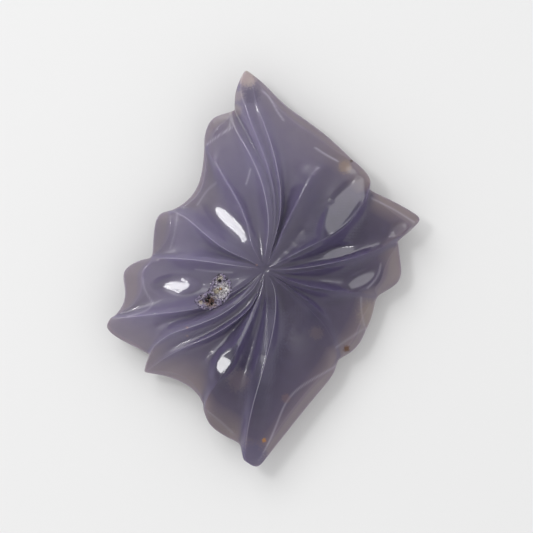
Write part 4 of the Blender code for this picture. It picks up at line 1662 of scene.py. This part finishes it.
@dataclass(frozen=True)
class Softbox:
    """A soft rectangular lamp that faces the stone from a direction.

    azimuth is counter-clockwise from +X and elevation above the table, in degrees.
    Lengths are in metres, and radiance is how bright its face looks.
    """

    name: str
    azimuth: float
    elevation: float
    distance: float
    width: float
    height: float
    radiance: float

    def place(self) -> bpy.types.Object:
        """Adds the lamp to the scene.

        Returns:
            The lamp's object.
        """
        lamp = bpy.data.lights.new(self.name, "AREA")
        lamp.shape = "RECTANGLE"
        lamp.size = self.width
        lamp.size_y = self.height
        lamp.energy = self.radiance * math.pi * self.width * self.height
        obj = bpy.data.objects.new(self.name, lamp)
        around, up = math.radians(self.azimuth), math.radians(self.elevation)
        toward = Vector((math.cos(around) * math.cos(up), math.sin(around) * math.cos(up), math.sin(up)))
        obj.location = toward * self.distance
        obj.rotation_euler = toward.to_track_quat("Z", "Y").to_euler()
        bpy.context.scene.collection.objects.link(obj)
        return obj


@dataclass
class Studio:
    """The pale table, the soft light and the camera that looks straight down.

    Lengths are in metres, but for the sensor and sharp_height, which are in
    millimetres. sharp_height is the level above the table that the framing is set for.
    """

    table_size: float = 6.0
    table_colour: tuple = (0.715, 0.715, 0.715)
    table_roughness: float = 0.9
    table_gloss: float = 0.1
    surround: float = 0.85
    camera_distance: float = 0.70
    sensor: float = 36.0
    sharp_height: float = 5.0
    clip_start: float = 0.01
    clip_end: float = 10.0
    softboxes: tuple = (
        Softbox("hot_panel_left", 150.5, 63, 0.5, 0.044, 0.08, 21.0),
        Softbox("hot_panel_right", 140.5, 63, 0.5, 0.036, 0.08, 21.0),
        Softbox("large_softbox", 126, 45, 1.0, 0.62, 0.5, 2.8),
        Softbox("fill_softbox", -42, 36, 1.1, 1.6, 0.9, 0.2),
    )

    def build(self) -> None:
        """Builds the table, lamps, surround and camera."""
        self.lay_table()
        for softbox in self.softboxes:
            softbox.place()
        self.light_surround()
        self.aim_camera()
        scene = bpy.context.scene
        scene.view_settings.view_transform = "Standard"
        scene.cycles.use_denoising = True

    def lay_table(self) -> None:
        """Lays a plain pale table under the stone."""
        deselect_all()
        bpy.ops.mesh.primitive_plane_add(size=self.table_size)
        table = bpy.context.object
        table.name = "pale_table"
        sketch = ShaderSketch("pale_table")
        sketch.set_values(
            {
                "Base Color": (*self.table_colour, 1.0),
                "Roughness": self.table_roughness,
                "Specular IOR Level": self.table_gloss,
            }
        )
        table.data.materials.append(sketch.material)

    def light_surround(self) -> None:
        """Gives the room an even white light."""
        world = bpy.data.worlds.new("white_room")
        world.use_nodes = True
        background = world.node_tree.nodes["Background"]
        background.inputs["Color"].default_value = (1.0, 1.0, 1.0, 1.0)
        background.inputs["Strength"].default_value = self.surround
        bpy.context.scene.world = world

    def aim_camera(self) -> None:
        """Sets a long lens straight above, framed as the photograph is."""
        view_width = PHOTO_PIXELS * MM_PER_PIXEL * MM
        middle = PHOTO_PIXELS / 2
        camera = bpy.data.cameras.new("top_camera")
        camera.sensor_width = self.sensor
        camera.lens = self.sensor * (self.camera_distance - self.sharp_height * MM) / view_width
        camera.clip_start = self.clip_start
        camera.clip_end = self.clip_end
        obj = bpy.data.objects.new("top_camera", camera)
        obj.location = (
            (middle - STONE_MIDDLE_PIXEL[0]) * MM_PER_PIXEL * MM,
            (STONE_MIDDLE_PIXEL[1] - middle) * MM_PER_PIXEL * MM,
            self.camera_distance,
        )
        bpy.context.scene.collection.objects.link(obj)
        bpy.context.scene.camera = obj


def main() -> None:
    """Builds the stone, its crystals and the studio."""
    logging.basicConfig(level=logging.INFO)
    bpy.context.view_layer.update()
    stone = CarvedStone()
    stone.build()
    stone.dress()
    log.info("stone: %d faces", len(stone.obj.data.polygons))
    crust = DruzyCrust(stone)
    crust.build()
    crust.dress()
    log.info("crust: %d faces", len(crust.obj.data.polygons))
    Studio().build()
    log.info("studio built")


if __name__ == "__main__":
    main()
